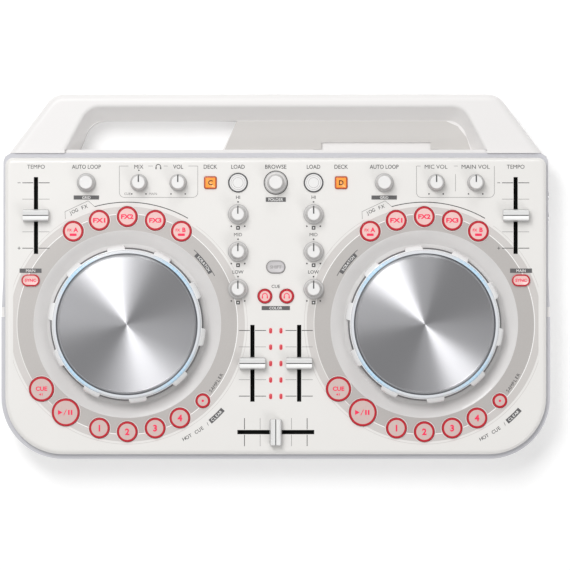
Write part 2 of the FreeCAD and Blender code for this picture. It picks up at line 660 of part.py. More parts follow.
def make_edge_trim():
    """The silver band: narrow along the rear half, with a notch at each side for the case's lug."""
    body = new_body("edge_trim")
    notch = "Dims.trim_half - Dims.lug_deep"
    half = [
        ("Dims.trim_half", "Dims.trim_front", "Dims.corner_front"),
        ("Dims.trim_half", "Dims.lug_low"),
        (notch, "Dims.lug_low"),
        (notch, "Dims.lug_high"),
        ("Dims.trim_half - 0.3", "Dims.lug_high"),
        ("Dims.trim_half_rear", "Dims.taper_end"),
        ("Dims.trim_half_rear", "Dims.trim_rear", "Dims.corner_rear"),
    ]
    sketch = polygon_sketch(body, "XY_Plane", mirrored(half), ("0", "0", "Dims.trim_low"))
    pad(body, sketch, "Dims.trim_high - Dims.trim_low")
    seat = mirrored(
        [
            ("Dims.panel_half + 0.1", "Dims.panel_front - 0.1", "Dims.corner_front - 2.9"),
            ("Dims.panel_half + 0.1", "Dims.panel_rear + 0.1", "Dims.corner_rear - 0.9"),
        ]
    )
    sketch = polygon_sketch(body, "XY_Plane", seat, ("0", "0", "Dims.trim_high"))
    pocket(body, sketch, "Dims.trim_high - Dims.trim_seat")
    inside = "Dims.trim_half - Dims.trim_band"
    opening = mirrored(
        [
            (inside, "Dims.trim_front + Dims.trim_band", "Dims.corner_front - Dims.trim_band"),
            (inside, "Dims.trim_rear - Dims.trim_band"),
        ]
    )
    sketch = polygon_sketch(body, "XY_Plane", opening, ("0", "0", "Dims.trim_high"))
    pocket(body, sketch, "Dims.trim_high - Dims.trim_low + 1")
    return keep(body, "edge_trim")


def finger_hole():
    """The outline of the hole that goes right through the handle."""
    return [
        ("-Dims.grip_low_front", "Dims.grip_front"),
        ("Dims.grip_end_front", "Dims.grip_front"),
        ("Dims.grip_end_rear", "Dims.grip_rear_low"),
        ("-Dims.grip_low_rear", "Dims.grip_rear_low", "Dims.grip_corner"),
    ]


def make_bottom_case():
    body = new_body("bottom_case")
    rim = mirrored(
        [
            ("Dims.case_half", "Dims.case_front", "Dims.corner_front - 2"),
            ("Dims.case_half", "Dims.case_rear"),
        ]
    )
    sketch = polygon_sketch(body, "XY_Plane", rim, ("0", "0", "Dims.trim_low"))
    depth = "Dims.trim_low - Dims.case_low"
    pad(body, sketch, depth, reverse=True, taper="-Dims.case_draft")
    dress(body, "Fillet", "Dims.case_round", level_at(value("Dims.case_low")))
    # an upright rear wall for the handle to stand against
    wall = mirrored([("Dims.back_half", "Dims.handle_joint - 20"), ("Dims.back_half", "Dims.handle_joint")])
    sketch = polygon_sketch(body, "XY_Plane", wall, ("0", "0", "Dims.trim_low"))
    pad(body, sketch, depth, reverse=True)

    inner = mirrored(
        [
            ("Dims.cavity_half", "Dims.cavity_front", "Dims.corner_front - 10"),
            ("Dims.cavity_half", "Dims.cavity_rear"),
        ]
    )
    floor = "Dims.trim_low - Dims.case_low - Dims.case_floor"
    pocket(body, polygon_sketch(body, "XY_Plane", inner, ("0", "0", "Dims.trim_low")), floor)
    # the lugs at the sides fill the trim's notches
    notch = "(Dims.trim_half - Dims.lug_deep + 0.1)"
    for inner_x, low, high in (
        ("(Dims.trim_half - 6)", "(Dims.case_low + 14)", "(Dims.trim_low - 0.2)"),
        (notch, "(Dims.trim_low - 0.3)", "(Dims.trim_high - 0.6)"),
    ):
        lugs = new_sketch(body, "XY_Plane", ("0", "0", low))
        for sign in (1, -1):
            outer_x = "(Dims.trim_half - 0.3)"
            middle = f"{sign} * ({inner_x} + {outer_x}) / 2"
            deep = "((Dims.lug_high - Dims.lug_low) / 2 - 0.15)"
            half = f"(({outer_x} - {inner_x}) / 2)"
            add_polygon(lugs, rectangle(middle, "(Dims.lug_low + Dims.lug_high) / 2", half, deep))
        pad(body, lugs, f"{high} - {low}")

    posts = new_sketch(body, "XY_Plane", ("0", "0", "Dims.case_low + 1"))
    for x, y in screw_places():
        add_circle(posts, x, y, "Dims.post_r")
    pad(body, posts, "Dims.board_top - Dims.board_thick - Dims.case_low - 1")
    bores = new_sketch(body, "XY_Plane", ("0", "0", "Dims.board_top"))
    for x, y in screw_places():
        add_circle(bores, x, y, "Dims.screw_r + Dims.screw_gap")
    pocket(body, bores, str(HOLE_DEPTH))
    sinks = new_sketch(body, "XY_Plane", ("0", "0", "0"))
    for x, y in screw_places():
        add_circle(sinks, x, y, "Dims.screw_head_r + Dims.screw_gap")
    sink_depth = "Dims.screw_head_low + Dims.screw_head_high"
    pocket(body, sinks, sink_depth, reverse=True)

    jacks = new_sketch(body, "YZ_Plane", ("0", "0", "Dims.case_half + 3"))
    for y in ("Dims.jack_y1", "Dims.jack_y2"):
        add_circle(jacks, y, "Dims.jack_z", "Dims.jack_bush_r + 0.1")
    pocket(body, jacks, "14")
    seats = new_sketch(body, "YZ_Plane", ("0", "0", "Dims.case_half + 3"))
    for y in ("Dims.jack_y1", "Dims.jack_y2"):
        add_circle(seats, y, "Dims.jack_z", "Dims.jack_nut_r + 0.3")
    pocket(body, seats, "Dims.case_half + 3 - Dims.jack_nut_in")
    return keep(body, "bottom_case")


def make_handle_base():
    """The lower half of the handle, hollow round the finger hole and under the shelf."""
    body = new_body("handle_base")
    outline = mirrored(
        [
            ("Dims.handle_half_front", "Dims.handle_front - 14"),
            ("Dims.handle_half_front", "Dims.handle_front"),
            ("Dims.handle_half_rear", "Dims.handle_rear", "Dims.handle_corner"),
        ]
    )
    sketch = polygon_sketch(body, "XY_Plane", outline, ("0", "0", "Dims.split"))
    pad(body, sketch, "Dims.split - Dims.case_low", reverse=True, taper="-Dims.case_draft")
    dress(body, "Fillet", "Dims.case_round", level_at(value("Dims.case_low")))
    front = rectangle("0", "Dims.handle_joint - 20", "220", "20")
    pocket(body, polygon_sketch(body, "XY_Plane", front, ("0", "0", "Dims.split")), str(HOLE_DEPTH))

    wall = "(Dims.grip_low_rear + 3)"
    hollow = [
        ("-181", "Dims.handle_joint + 4"),
        ("-156", "Dims.handle_rear - 6.5"),
        ("156", "Dims.handle_rear - 6.5"),
        ("181", "Dims.handle_joint + 4"),
        ("Dims.grip_end_front + 4", "Dims.handle_joint + 4"),
        ("Dims.grip_end_rear + 3", "Dims.grip_rear_low + 2.7"),
        (f"-{wall}", "Dims.grip_rear_low + 2.7"),
        ("-(Dims.grip_low_front + 4)", "Dims.handle_joint + 4"),
    ]
    sketch = polygon_sketch(body, "XY_Plane", hollow, ("0", "0", "Dims.split"))
    pocket(body, sketch, "Dims.split - Dims.case_low - Dims.case_floor")
    hole = polygon_sketch(body, "XY_Plane", finger_hole(), ("0", "0", "Dims.split + 20"))
    pocket(body, hole, str(HOLE_DEPTH))
    ports = new_sketch(body, "XZ_Plane", ("0", "0", "-(Dims.handle_rear + 1)"))
    for x in ("Dims.line_x1", "Dims.line_x2"):
        add_circle(ports, x, "Dims.socket_z", "Dims.line_recess_r")
    around = ["(Dims.usb_half_x + Dims.socket_gap)", "(Dims.usb_half_z + Dims.socket_gap)"]
    port = rectangle("Dims.usb_x", "Dims.socket_z", *around)
    add_polygon(ports, port)
    pocket(body, ports, "12", reverse=True)
    return keep(body, "handle_base")


def make_rear_handle():
    body = new_body("rear_handle")
    outline = mirrored(
        [
            ("Dims.handle_half_front", "Dims.handle_front"),
            ("Dims.handle_half_rear", "Dims.handle_rear", "Dims.handle_corner"),
        ]
    )
    sketch = polygon_sketch(body, "XY_Plane", outline, ("0", "0", "Dims.split"))
    pad(body, sketch, "Dims.handle_top - Dims.split")
    rear, front = value("Dims.handle_rear"), value("Dims.handle_front")
    outer_top = level_at(value("Dims.handle_top"), lambda middle: middle.y > front + 0.5)
    dress(body, "Fillet", "Dims.handle_round", outer_top)

    # the opening narrows from the top face down to the shelf
    upper = mirrored(
        [("Dims.grip_half_front", "Dims.grip_front"), ("Dims.grip_half_rear", "Dims.grip_rear")]
    )
    lower = mirrored(
        [("Dims.grip_low_front", "Dims.grip_front"), ("Dims.grip_low_rear", "Dims.grip_rear_low")]
    )
    loft = body.newObject("PartDesign::SubtractiveLoft", "opening")
    loft.Profile = polygon_sketch(body, "XY_Plane", upper, ("0", "0", "Dims.handle_top"))
    loft.Sections = [polygon_sketch(body, "XY_Plane", lower, ("0", "0", "Dims.shelf_top"))]
    loft.Ruled = True
    doc.recompute()

    grip_rear, grip_half = value("Dims.grip_rear"), value("Dims.grip_half_rear")
    mid_x = (grip_half + value("Dims.grip_low_rear")) / 2
    mid_y = (grip_rear + value("Dims.grip_rear_low")) / 2

    def opening_corner(edge):
        middle = edge.BoundBox.Center
        rises = edge.BoundBox.ZLength > 10
        return rises and abs(abs(middle.x) - mid_x) < 1.5 and abs(middle.y - mid_y) < 1.5

    dress(body, "Fillet", "Dims.grip_corner", opening_corner)
    low_front = value("Dims.grip_front")

    def around_opening(middle):
        return middle.y > low_front + 0.5 and middle.y < rear - 3 and abs(middle.x) < grip_half + 12

    dress(body, "Fillet", "Dims.grip_round", level_at(value("Dims.handle_top"), around_opening))

    hole = polygon_sketch(body, "XY_Plane", finger_hole(), ("0", "0", "Dims.shelf_top + 1"))
    pocket(body, hole, "30")
    ledge = rectangle("0", "Dims.handle_front", "Dims.grip_half_front", "(Dims.grip_front - Dims.handle_front)")
    sketch = polygon_sketch(body, "XY_Plane", ledge, ("0", "0", "Dims.handle_top"))
    pocket(body, sketch, "Dims.handle_top - Dims.ledge_top")

    tablet_slot = [
        ("Dims.slot_left - 6", "Dims.grip_front"),
        ("Dims.slot_right + 6", "Dims.grip_front"),
        ("Dims.slot_right", "Dims.slot_rear"),
        ("Dims.slot_left", "Dims.slot_rear"),
    ]
    sketch = polygon_sketch(body, "XY_Plane", tablet_slot, ("0", "0", "Dims.shelf_top"))
    pocket(body, sketch, "Dims.slot_deep")

    # hollows in the underside: two arms and the bar
    hollows = new_sketch(body, "XY_Plane", ("0", "0", "Dims.split"))
    for sign in (1, -1):
        arm = [
            (f"{sign} * 157.2", "Dims.grip_front + 1"),
            (f"{sign} * 187.0", "Dims.grip_front + 1"),
            (f"{sign} * 170.0", "Dims.grip_front + 23.5"),
            (f"{sign} * 145.5", "Dims.grip_front + 23.5"),
        ]
        add_polygon(hollows, arm if sign > 0 else arm[::-1])
    add_polygon(hollows, rectangle("0", "127.4", "148", "2.6"))
    pocket(body, hollows, "11", reverse=True)
    return keep(body, "rear_handle")


# ---------------------------------------------------------------- controls


def make_round_key(name, x, y, radius):
    body = new_body(name)
    flange = f"{radius} + Dims.flange_lip"
    turn(
        body,
        "Revolution",
        [
            ("0", "Dims.stem_end"),
            ("Dims.stem_r", "Dims.stem_end"),
            ("Dims.stem_r", "Dims.flange_low"),
            (flange, "Dims.flange_low"),
            (flange, "Dims.flange_top"),
            (radius, "Dims.flange_top"),
            (radius, "Dims.key_proud"),
            ("0", "Dims.key_proud"),
        ],
    )
    dress(body, "Fillet", "Dims.key_edge", level_at(value("Dims.key_proud")))
    return keep(body, name, x, y, "Dims.panel_top")


def make_flat_sided_key(name, x, y, half_x, half_y, corner):
    body = new_body(name)
    face = rectangle("0", "0", half_x, half_y, corner)
    sketch = polygon_sketch(body, "XY_Plane", face, ("0", "0", "Dims.flange_top"))
    pad(body, sketch, "Dims.key_proud - Dims.flange_top")
    dress(body, "Fillet", "Dims.key_edge", level_at(value("Dims.key_proud")))
    lips = [f"({half} + Dims.flange_lip)" for half in (half_x, half_y)]
    flange = rectangle("0", "0", *lips, f"{corner} + Dims.flange_lip")
    sketch = polygon_sketch(body, "XY_Plane", flange, ("0", "0", "Dims.flange_top"))
    pad(body, sketch, "Dims.flange_top - Dims.flange_low", reverse=True)
    stem = new_sketch(body, "XY_Plane", ("0", "0", "Dims.flange_low"))
    add_circle(stem, "0", "0", "Dims.stem_r")
    pad(body, stem, "Dims.flange_low - Dims.stem_end", reverse=True)
    return keep(body, name, x, y, "Dims.panel_top")


def make_knob(name, x, y, family, top="Dims.knob_top"):
    """A knob turned in one piece with the shaft that runs in its rotary sensor."""
    body = new_body(name)
    skirt, neck, crown = (f"Dims.{family}_{place}_r" for place in ("skirt", "neck", "top"))
    turn(
        body,
        "Revolution",
        [
            ("0", "Dims.shaft_end"),
            ("Dims.shaft_r", "Dims.shaft_end"),
            ("Dims.shaft_r", "Dims.knob_base"),
            (skirt, "Dims.knob_base"),
            (skirt, "Dims.knob_skirt_top - 1"),
            (neck, "Dims.knob_skirt_top"),
            (crown, top),
            ("0", top),
        ],
    )
    dress(body, "Fillet", "Dims.key_edge", level_at(value(top)))
    return keep(body, name, x, y, "Dims.panel_top")


def make_fader(name, x, y, sideways):
    """A fader cap in one piece with its lever; it is drawn for a slot from front to rear."""
    body = new_body(name)
    side = [
        ("-Dims.cap_half_y", "Dims.cap_base"),
        ("Dims.cap_half_y", "Dims.cap_base"),
        ("Dims.cap_half_y", "Dims.cap_shoulder"),
        ("Dims.cap_ridge", "Dims.cap_top"),
        ("0", "Dims.cap_valley"),
        ("-Dims.cap_ridge", "Dims.cap_top"),
        ("-Dims.cap_half_y", "Dims.cap_shoulder"),
    ]
    sketch = polygon_sketch(body, "YZ_Plane", side, ("0", "0", "-Dims.cap_half_x"))
    pad(body, sketch, "Dims.cap_half_x * 2")
    end = value("Dims.cap_half_x")

    def at_end(edge):
        box = edge.BoundBox
        return box.XLength < 1e-3 and abs(abs(box.Center.x) - end) < 1e-3

    dress(body, "Fillet", "Dims.cap_edge", lambda edge: at_end(edge) and edge.BoundBox.Center.z > 2)
    lever = rectangle("0", "0", "Dims.lever_half_x", "Dims.lever_half_y")
    sketch = polygon_sketch(body, "XY_Plane", lever, ("0", "0", "Dims.cap_base"))
    pad(body, sketch, "Dims.cap_base - Dims.lever_end", reverse=True)
    keep(body, name, x, y, "Dims.panel_top")
    if sideways:
        body.Placement.Rotation = FreeCAD.Rotation(FreeCAD.Vector(0, 0, 1), 90)
    return body


def make_jog_wheel(side, sign):
    """A jog wheel: notched platter with its shaft, clear ring, and metal plate on top."""
    platter = new_body(f"platter_{side}")
    rim_low = "-Dims.dish_deep + 0.8"
    turn(
        platter,
        "Revolution",
        [
            ("0", "-9.8"),
            ("Dims.jog_shaft_r", "-9.8"),
            ("Dims.jog_shaft_r", rim_low),
            ("10", rim_low),
            ("10", "Dims.jog_web_top - 4"),
            ("Dims.jog_notch_r - 3", "Dims.jog_web_top - 4"),
            ("Dims.jog_notch_r - 3", rim_low),
            ("Dims.jog_r", rim_low),
            ("Dims.jog_r", "Dims.jog_web_top - 3.5"),
            ("Dims.ring_r + 0.3", "Dims.jog_web_top"),
            ("0", "Dims.jog_web_top"),
        ],
    )
    wedges = []
    count = int(value("Dims.jog_notches"))
    for step in range(count):
        wedge = doc.addObject("Part::Cylinder", f"notch_wedge_{side}")
        bind(wedge, Radius="Dims.jog_r + 3", Height="40", Angle="Dims.jog_notch_angle")
        wedge.Placement.Base.z = -20
        start = value("Dims.jog_first_notch") + 360.0 * step / count
        wedge.Placement.Rotation = FreeCAD.Rotation(FreeCAD.Vector(0, 0, 1), start)
        wedges.append(wedge)
    fan = doc.addObject("Part::MultiFuse", f"notch_fan_{side}")
    fan.Shapes = wedges
    core = doc.addObject("Part::Cylinder", f"notch_core_{side}")
    bind(core, Radius="Dims.jog_notch_r", Height="60")
    core.Placement.Base.z = -30
    cutter = doc.addObject("Part::Cut", f"notch_cutter_{side}")
    cutter.Base, cutter.Tool = fan, core
    notched = doc.addObject("Part::Cut", f"notched_platter_{side}")
    notched.Base, notched.Tool = platter, cutter

    ring = new_body(f"clear_ring_{side}")
    turn(
        ring,
        "Revolution",
        [
            ("Dims.plate_r + 0.05", "Dims.jog_web_top"),
            ("Dims.ring_r", "Dims.jog_web_top"),
            ("Dims.ring_r - 0.8", "Dims.ring_top"),
            ("Dims.plate_r + 0.05", "Dims.ring_top"),
        ],
    )
    plate = new_body(f"metal_plate_{side}")
    turn(
        plate,
        "Revolution",
        [
            ("0", "Dims.jog_web_top"),
            ("Dims.plate_r", "Dims.jog_web_top"),
            ("Dims.plate_r", "Dims.plate_top - 1.5"),
            ("Dims.plate_face_r", "Dims.plate_top"),
            ("0", "Dims.plate_top"),
        ],
    )
    wheel = doc.addObject("Part::Compound", f"jog_wheel_{side}")
    wheel.Links = [notched, ring, plate]
    name = f"jog_wheel_{side}"
    return keep(wheel, name, f"{sign}Dims.deck_offset", "Dims.deck_y", "Dims.panel_top")


# ---------------------------------------------------------------- electronics and hardware


def put(thing, x="0", y="0", z="0"):
    return bind(thing, Placement__Base__x=x, Placement__Base__y=y, Placement__Base__z=z)


def block(name, x, y, z, size_x, size_y, size_z):
    """A box centred on x, y and standing on z."""
    box = doc.addObject("Part::Box", name)
    bind(box, Length=size_x, Width=size_y, Height=size_z)
    return put(box, f"{x} - ({size_x}) / 2", f"{y} - ({size_y}) / 2", z)


def rod(name, x, y, z, radius, length, axis=(0, 0, 1)):
    """A cylinder from x, y, z along an axis."""
    cylinder = doc.addObject("Part::Cylinder", name)
    bind(cylinder, Radius=radius, Height=length)
    put(cylinder, x, y, z)
    cylinder.Placement.Rotation = FreeCAD.Rotation(FreeCAD.Vector(0, 0, 1), FreeCAD.Vector(*axis))
    return cylinder


def fuse(name, *shapes):
    joined = doc.addObject("Part::MultiFuse", name)
    joined.Shapes = list(shapes)
    return joined


def cut(name, base, tool):
    result = doc.addObject("Part::Cut", name)
    result.Base, result.Tool = base, tool
    return result


def make_board():
    body = new_body("main_board")
    outline = mirrored(
        [
            ("Dims.board_half", "Dims.board_front", "Dims.board_corner"),
            ("Dims.board_half", "Dims.board_rear"),
        ]
    )
    low = "Dims.board_top - Dims.board_thick"
    pad(body, polygon_sketch(body, "XY_Plane", outline, ("0", "0", low)), "Dims.board_thick")
    holes = new_sketch(body, "XY_Plane", ("0", "0", "Dims.board_top"))
    for x, y in screw_places():
        add_circle(holes, x, y, "Dims.screw_r + Dims.screw_gap")
    pocket(body, holes, "Dims.board_thick")
    return body


def make_rotary_sensor(x, y):
    case = block("sensor_case", x, y, "Dims.board_top", "Dims.pot_wide", "Dims.pot_wide", "Dims.pot_high")
    floor = "Dims.board_top + Dims.pot_high - Dims.pot_bore_deep"
    bore = rod("sensor_bore", x, y, floor, "Dims.shaft_r + Dims.bearing_gap", "Dims.pot_bore_deep + 1")
    return cut("rotary_sensor", case, bore)


def make_key_switch(x, y):
    case = block("switch_case", x, y, "Dims.board_top", "Dims.switch_wide", "Dims.switch_wide", "Dims.switch_high")
    top = "Dims.board_top + Dims.switch_high - 0.1"
    return fuse("key_switch", case, rod("plunger", x, y, top, "Dims.plunger_r", "Dims.plunger_high + 0.1"))


def make_fader_frame(x, y, sideways):
    long_way = ("Dims.track_long", "Dims.track_wide")
    groove_way = ("Dims.groove_long", "Dims.groove_wide")
    if not sideways:
        long_way, groove_way = long_way[::-1], groove_way[::-1]
    height = "Dims.panel_top + Dims.track_top - Dims.board_top"
    frame = block("track", x, y, "Dims.board_top", *long_way, height)
    groove = block("groove", x, y, "Dims.panel_top + Dims.groove_low", *groove_way, "20")
    return cut("fader_frame", frame, groove)


def make_side_socket(y):
    """A 3.5 mm socket in the right side, with its bush and ring nut."""
    along = (1, 0, 0)
    body = doc.addObject("Part::Box", "jack_body")
    bind(
        body,
        Length="Dims.jack_bush_in - Dims.jack_body_in",
        Width="Dims.jack_body_half * 2",
        Height="Dims.jack_body_half * 2",
    )
    put(body, "Dims.jack_body_in", f"{y} - Dims.jack_body_half", "Dims.jack_z - Dims.jack_body_half")
    length = "Dims.jack_out - Dims.jack_bush_in + 1"
    bush = rod("jack_bush", "Dims.jack_bush_in - 1", y, "Dims.jack_z", "Dims.jack_bush_r", length, along)
    nut_long = "Dims.jack_out - 0.4 - Dims.jack_nut_in"
    nut = rod("jack_nut", "Dims.jack_nut_in", y, "Dims.jack_z", "Dims.jack_nut_r", nut_long, along)
    bore = rod("jack_bore", "Dims.jack_out - 15", y, "Dims.jack_z", "Dims.jack_bore_r", "16", along)
    return cut("side_socket", fuse("jack_solid", body, bush, nut), bore)


def make_line_output(x):
    """A phono socket that points to the rear."""
    back = (0, 1, 0)
    body = block(
        "line_body",
        x,
        "(Dims.line_body_in + Dims.line_in + 1) / 2",
        "Dims.socket_z - Dims.line_body_half",
        "Dims.line_body_half * 2",
        "Dims.line_in + 1 - Dims.line_body_in",
        "Dims.line_body_half * 2",
    )
    shell_long = "Dims.line_out - Dims.line_in"
    outer = rod("line_outer", x, "Dims.line_in", "Dims.socket_z", "Dims.line_r", shell_long, back)
    inner = rod("line_inner", x, "Dims.line_in + 1", "Dims.socket_z", "Dims.line_bore_r", "12", back)
    sleeve_long = f"{shell_long} - 1"
    sleeve = rod("line_sleeve", x, "Dims.line_in", "Dims.socket_z", "Dims.line_sleeve_r", sleeve_long, back)
    contact = rod("line_contact", x, "Dims.line_in", "Dims.socket_z", "Dims.line_pin_r", "12", back)
    shell = cut("line_shell", fuse("line_solid", body, outer), inner)
    return cut("line_output", fuse("line_joined", shell, sleeve), contact)


def make_data_port():
    """The square data port, with a tongue in its shell."""
    long_y = "Dims.usb_out - Dims.usb_in"
    middle = "(Dims.usb_out + Dims.usb_in) / 2"
    low = "Dims.socket_z - Dims.usb_half_z"
    shell = block("port_shell", "Dims.usb_x", middle, low, "Dims.usb_half_x * 2", long_y, "Dims.usb_half_z * 2")
    wide = "(Dims.usb_half_x - Dims.usb_shell) * 2"
    high = "(Dims.usb_half_z - Dims.usb_shell) * 2"
    hollow = block(
        "port_hollow",
        "Dims.usb_x",
        f"{middle} + Dims.usb_back",
        f"{low} + Dims.usb_shell",
        wide,
        long_y,
        high,
    )
    tongue = block(
        "port_tongue",
        "Dims.usb_x",
        f"{middle} - 1",
        "Dims.socket_z - Dims.usb_tongue_half_z",
        "Dims.usb_tongue_half_x * 2",
        f"{long_y} - 2",
        "Dims.usb_tongue_half_z * 2",
    )
    return fuse("data_port", cut("port_case", shell, hollow), tongue)


def make_light_pipe(x, y):
    height = "Dims.panel_top - Dims.board_top"
    return block("light_pipe", x, y, "Dims.board_top", "Dims.light_half_x * 2", "Dims.light_half_y * 2", height)


def make_circuit_board():
    """The board with everything soldered to it and its screws, each piece a solid of its own."""
    pieces = [make_board(), make_data_port()]
    knobs = tone_knobs() + top_row_knobs() + [("browse", "0", "Dims.top_row_y")]
    pieces += [make_rotary_sensor(x, y) for _, x, y in knobs]
    pieces += [make_key_switch(key[1], key[2]) for key in round_keys() + flat_sided_keys()]
    pieces += [make_fader_frame(x, y, sideways) for _, x, y, sideways in faders()]
    pieces += [make_light_pipe(x, y) for x, y in light_places()]
    pieces += [make_side_socket(y) for y in ("Dims.jack_y1", "Dims.jack_y2")]
    pieces += [make_line_output(x) for x in ("Dims.line_x1", "Dims.line_x2")]
    pieces += make_case_screws()
    group = doc.addObject("Part::Compound", "board_and_screws")
    group.Links = pieces
    return keep(group, "board_and_screws")


def make_rubber_feet():
    feet = []
    for x in ("Dims.foot_x", "-Dims.foot_x"):
        for y in ("Dims.foot_front_y", "Dims.foot_rear_y"):
            pad_part = rod("foot_pad", x, y, "Dims.foot_edge", "Dims.foot_r", "Dims.case_low - Dims.foot_edge")
            rim = doc.addObject("Part::Cone", "foot_rim")
            bind(rim, Radius1="Dims.foot_r - Dims.foot_edge", Radius2="Dims.foot_r", Height="Dims.foot_edge")
            feet.append(fuse("rubber_foot", pad_part, put(rim, x, y)))
    group = doc.addObject("Part::Compound", "rubber_feet")
    group.Links = feet
    return keep(group, "rubber_feet")


def make_case_screws():
    screws = []
    for x, y in screw_places():
        head = rod("screw_head", x, y, "Dims.screw_head_low", "Dims.screw_head_r", "Dims.screw_head_high")
        long_z = "Dims.screw_tip - Dims.screw_head_low - 1"
        shank = rod("screw_shank", x, y, "Dims.screw_head_low + 1", "Dims.screw_r", long_z)
        screws.append(fuse("case_screw", head, shank))
    return screws


def build():
    make_top_panel()
    make_edge_trim()
    make_bottom_case()
    make_handle_base()
    make_rear_handle()
    for side, sign in SIDES:
        make_jog_wheel(side, sign)
    for key in round_keys():
        make_round_key(*key)
    for key in flat_sided_keys():
        make_flat_sided_key(*key)
    for name, x, y in tone_knobs():
        make_knob(name, x, y, "tone")
    for name, x, y in top_row_knobs():
        make_knob(name, x, y, "loop" if name.startswith("loop") else "level")
    make_knob("browse_knob", "0", "Dims.top_row_y", "browse", "Dims.browse_top")
    for fader in faders():
        make_fader(*fader)
    make_circuit_board()
    make_rubber_feet()


def check():
    """Stops if any object failed, or any sub-part is empty or not valid."""
    doc.recompute()
    for thing in doc.Objects:
        if "Invalid" in thing.State or "Error" in thing.State:
            raise RuntimeError(f"{thing.Label} did not compute")
    for part in sub_parts:
        if part.Shape.isNull() or not part.Shape.isValid() or not part.Shape.Solids:
            raise RuntimeError(f"{part.Label} is not a valid solid")


def export():
    os.makedirs("parts", exist_ok=True)
    for part in sub_parts:
        part.Shape.exportStep(f"parts/{part.Label}.step")
        print(f"{part.Label}: {len(part.Shape.Solids)} solids, {part.Shape.Volume / 1000:.2f} cm3")


build()
check()
export()
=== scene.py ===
"""Looks of the two-deck DJ controller. Lengths in this script are in millimetres until a mesh is made."""

import math

import bmesh
import bpy
from mathutils import Matrix, Vector


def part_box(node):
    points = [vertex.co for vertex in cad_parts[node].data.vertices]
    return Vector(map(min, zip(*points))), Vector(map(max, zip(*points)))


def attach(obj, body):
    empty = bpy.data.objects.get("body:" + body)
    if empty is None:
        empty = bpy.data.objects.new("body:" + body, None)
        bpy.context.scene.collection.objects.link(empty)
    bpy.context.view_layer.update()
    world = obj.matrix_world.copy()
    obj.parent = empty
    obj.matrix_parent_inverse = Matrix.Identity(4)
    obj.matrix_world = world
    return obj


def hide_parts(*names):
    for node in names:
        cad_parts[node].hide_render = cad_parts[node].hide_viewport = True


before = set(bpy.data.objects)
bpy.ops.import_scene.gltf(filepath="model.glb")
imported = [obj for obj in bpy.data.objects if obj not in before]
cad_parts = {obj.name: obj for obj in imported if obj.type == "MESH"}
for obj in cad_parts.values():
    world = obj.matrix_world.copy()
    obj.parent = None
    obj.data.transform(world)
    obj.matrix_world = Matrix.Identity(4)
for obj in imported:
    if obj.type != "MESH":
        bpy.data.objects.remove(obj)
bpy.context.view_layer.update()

MM = 0.001
CHASSIS = "chassis"
SIDES = ("left", "right")
# how far the layers of printed ink stand above the panel
RING_INK, LINE_INK, WORD_INK, TAG_INK = 0.03, 0.045, 0.07, 0.1
WORD_ROW = 79.9  # how far to the rear the row of words stands


def middle(node):
    """The middle of a CAD node's box, in millimetres."""
    low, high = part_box(node)
    return (low + high) / 2 / MM


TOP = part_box("shift_key")[1].z / MM - 1.6  # height of the panel's top face
DECKS = {side: middle(f"jog_wheel_{side}") for side in SIDES}


# ---------------------------------------------------------------- materials


def rgb(red, green, blue):
    """A linear colour from 0 to 255 display values."""
    parts = []
    for part in (red, green, blue):
        part /= 255
        parts.append(part / 12.92 if part <= 0.04045 else ((part + 0.055) / 1.055) ** 2.4)
    return (*parts, 1.0)


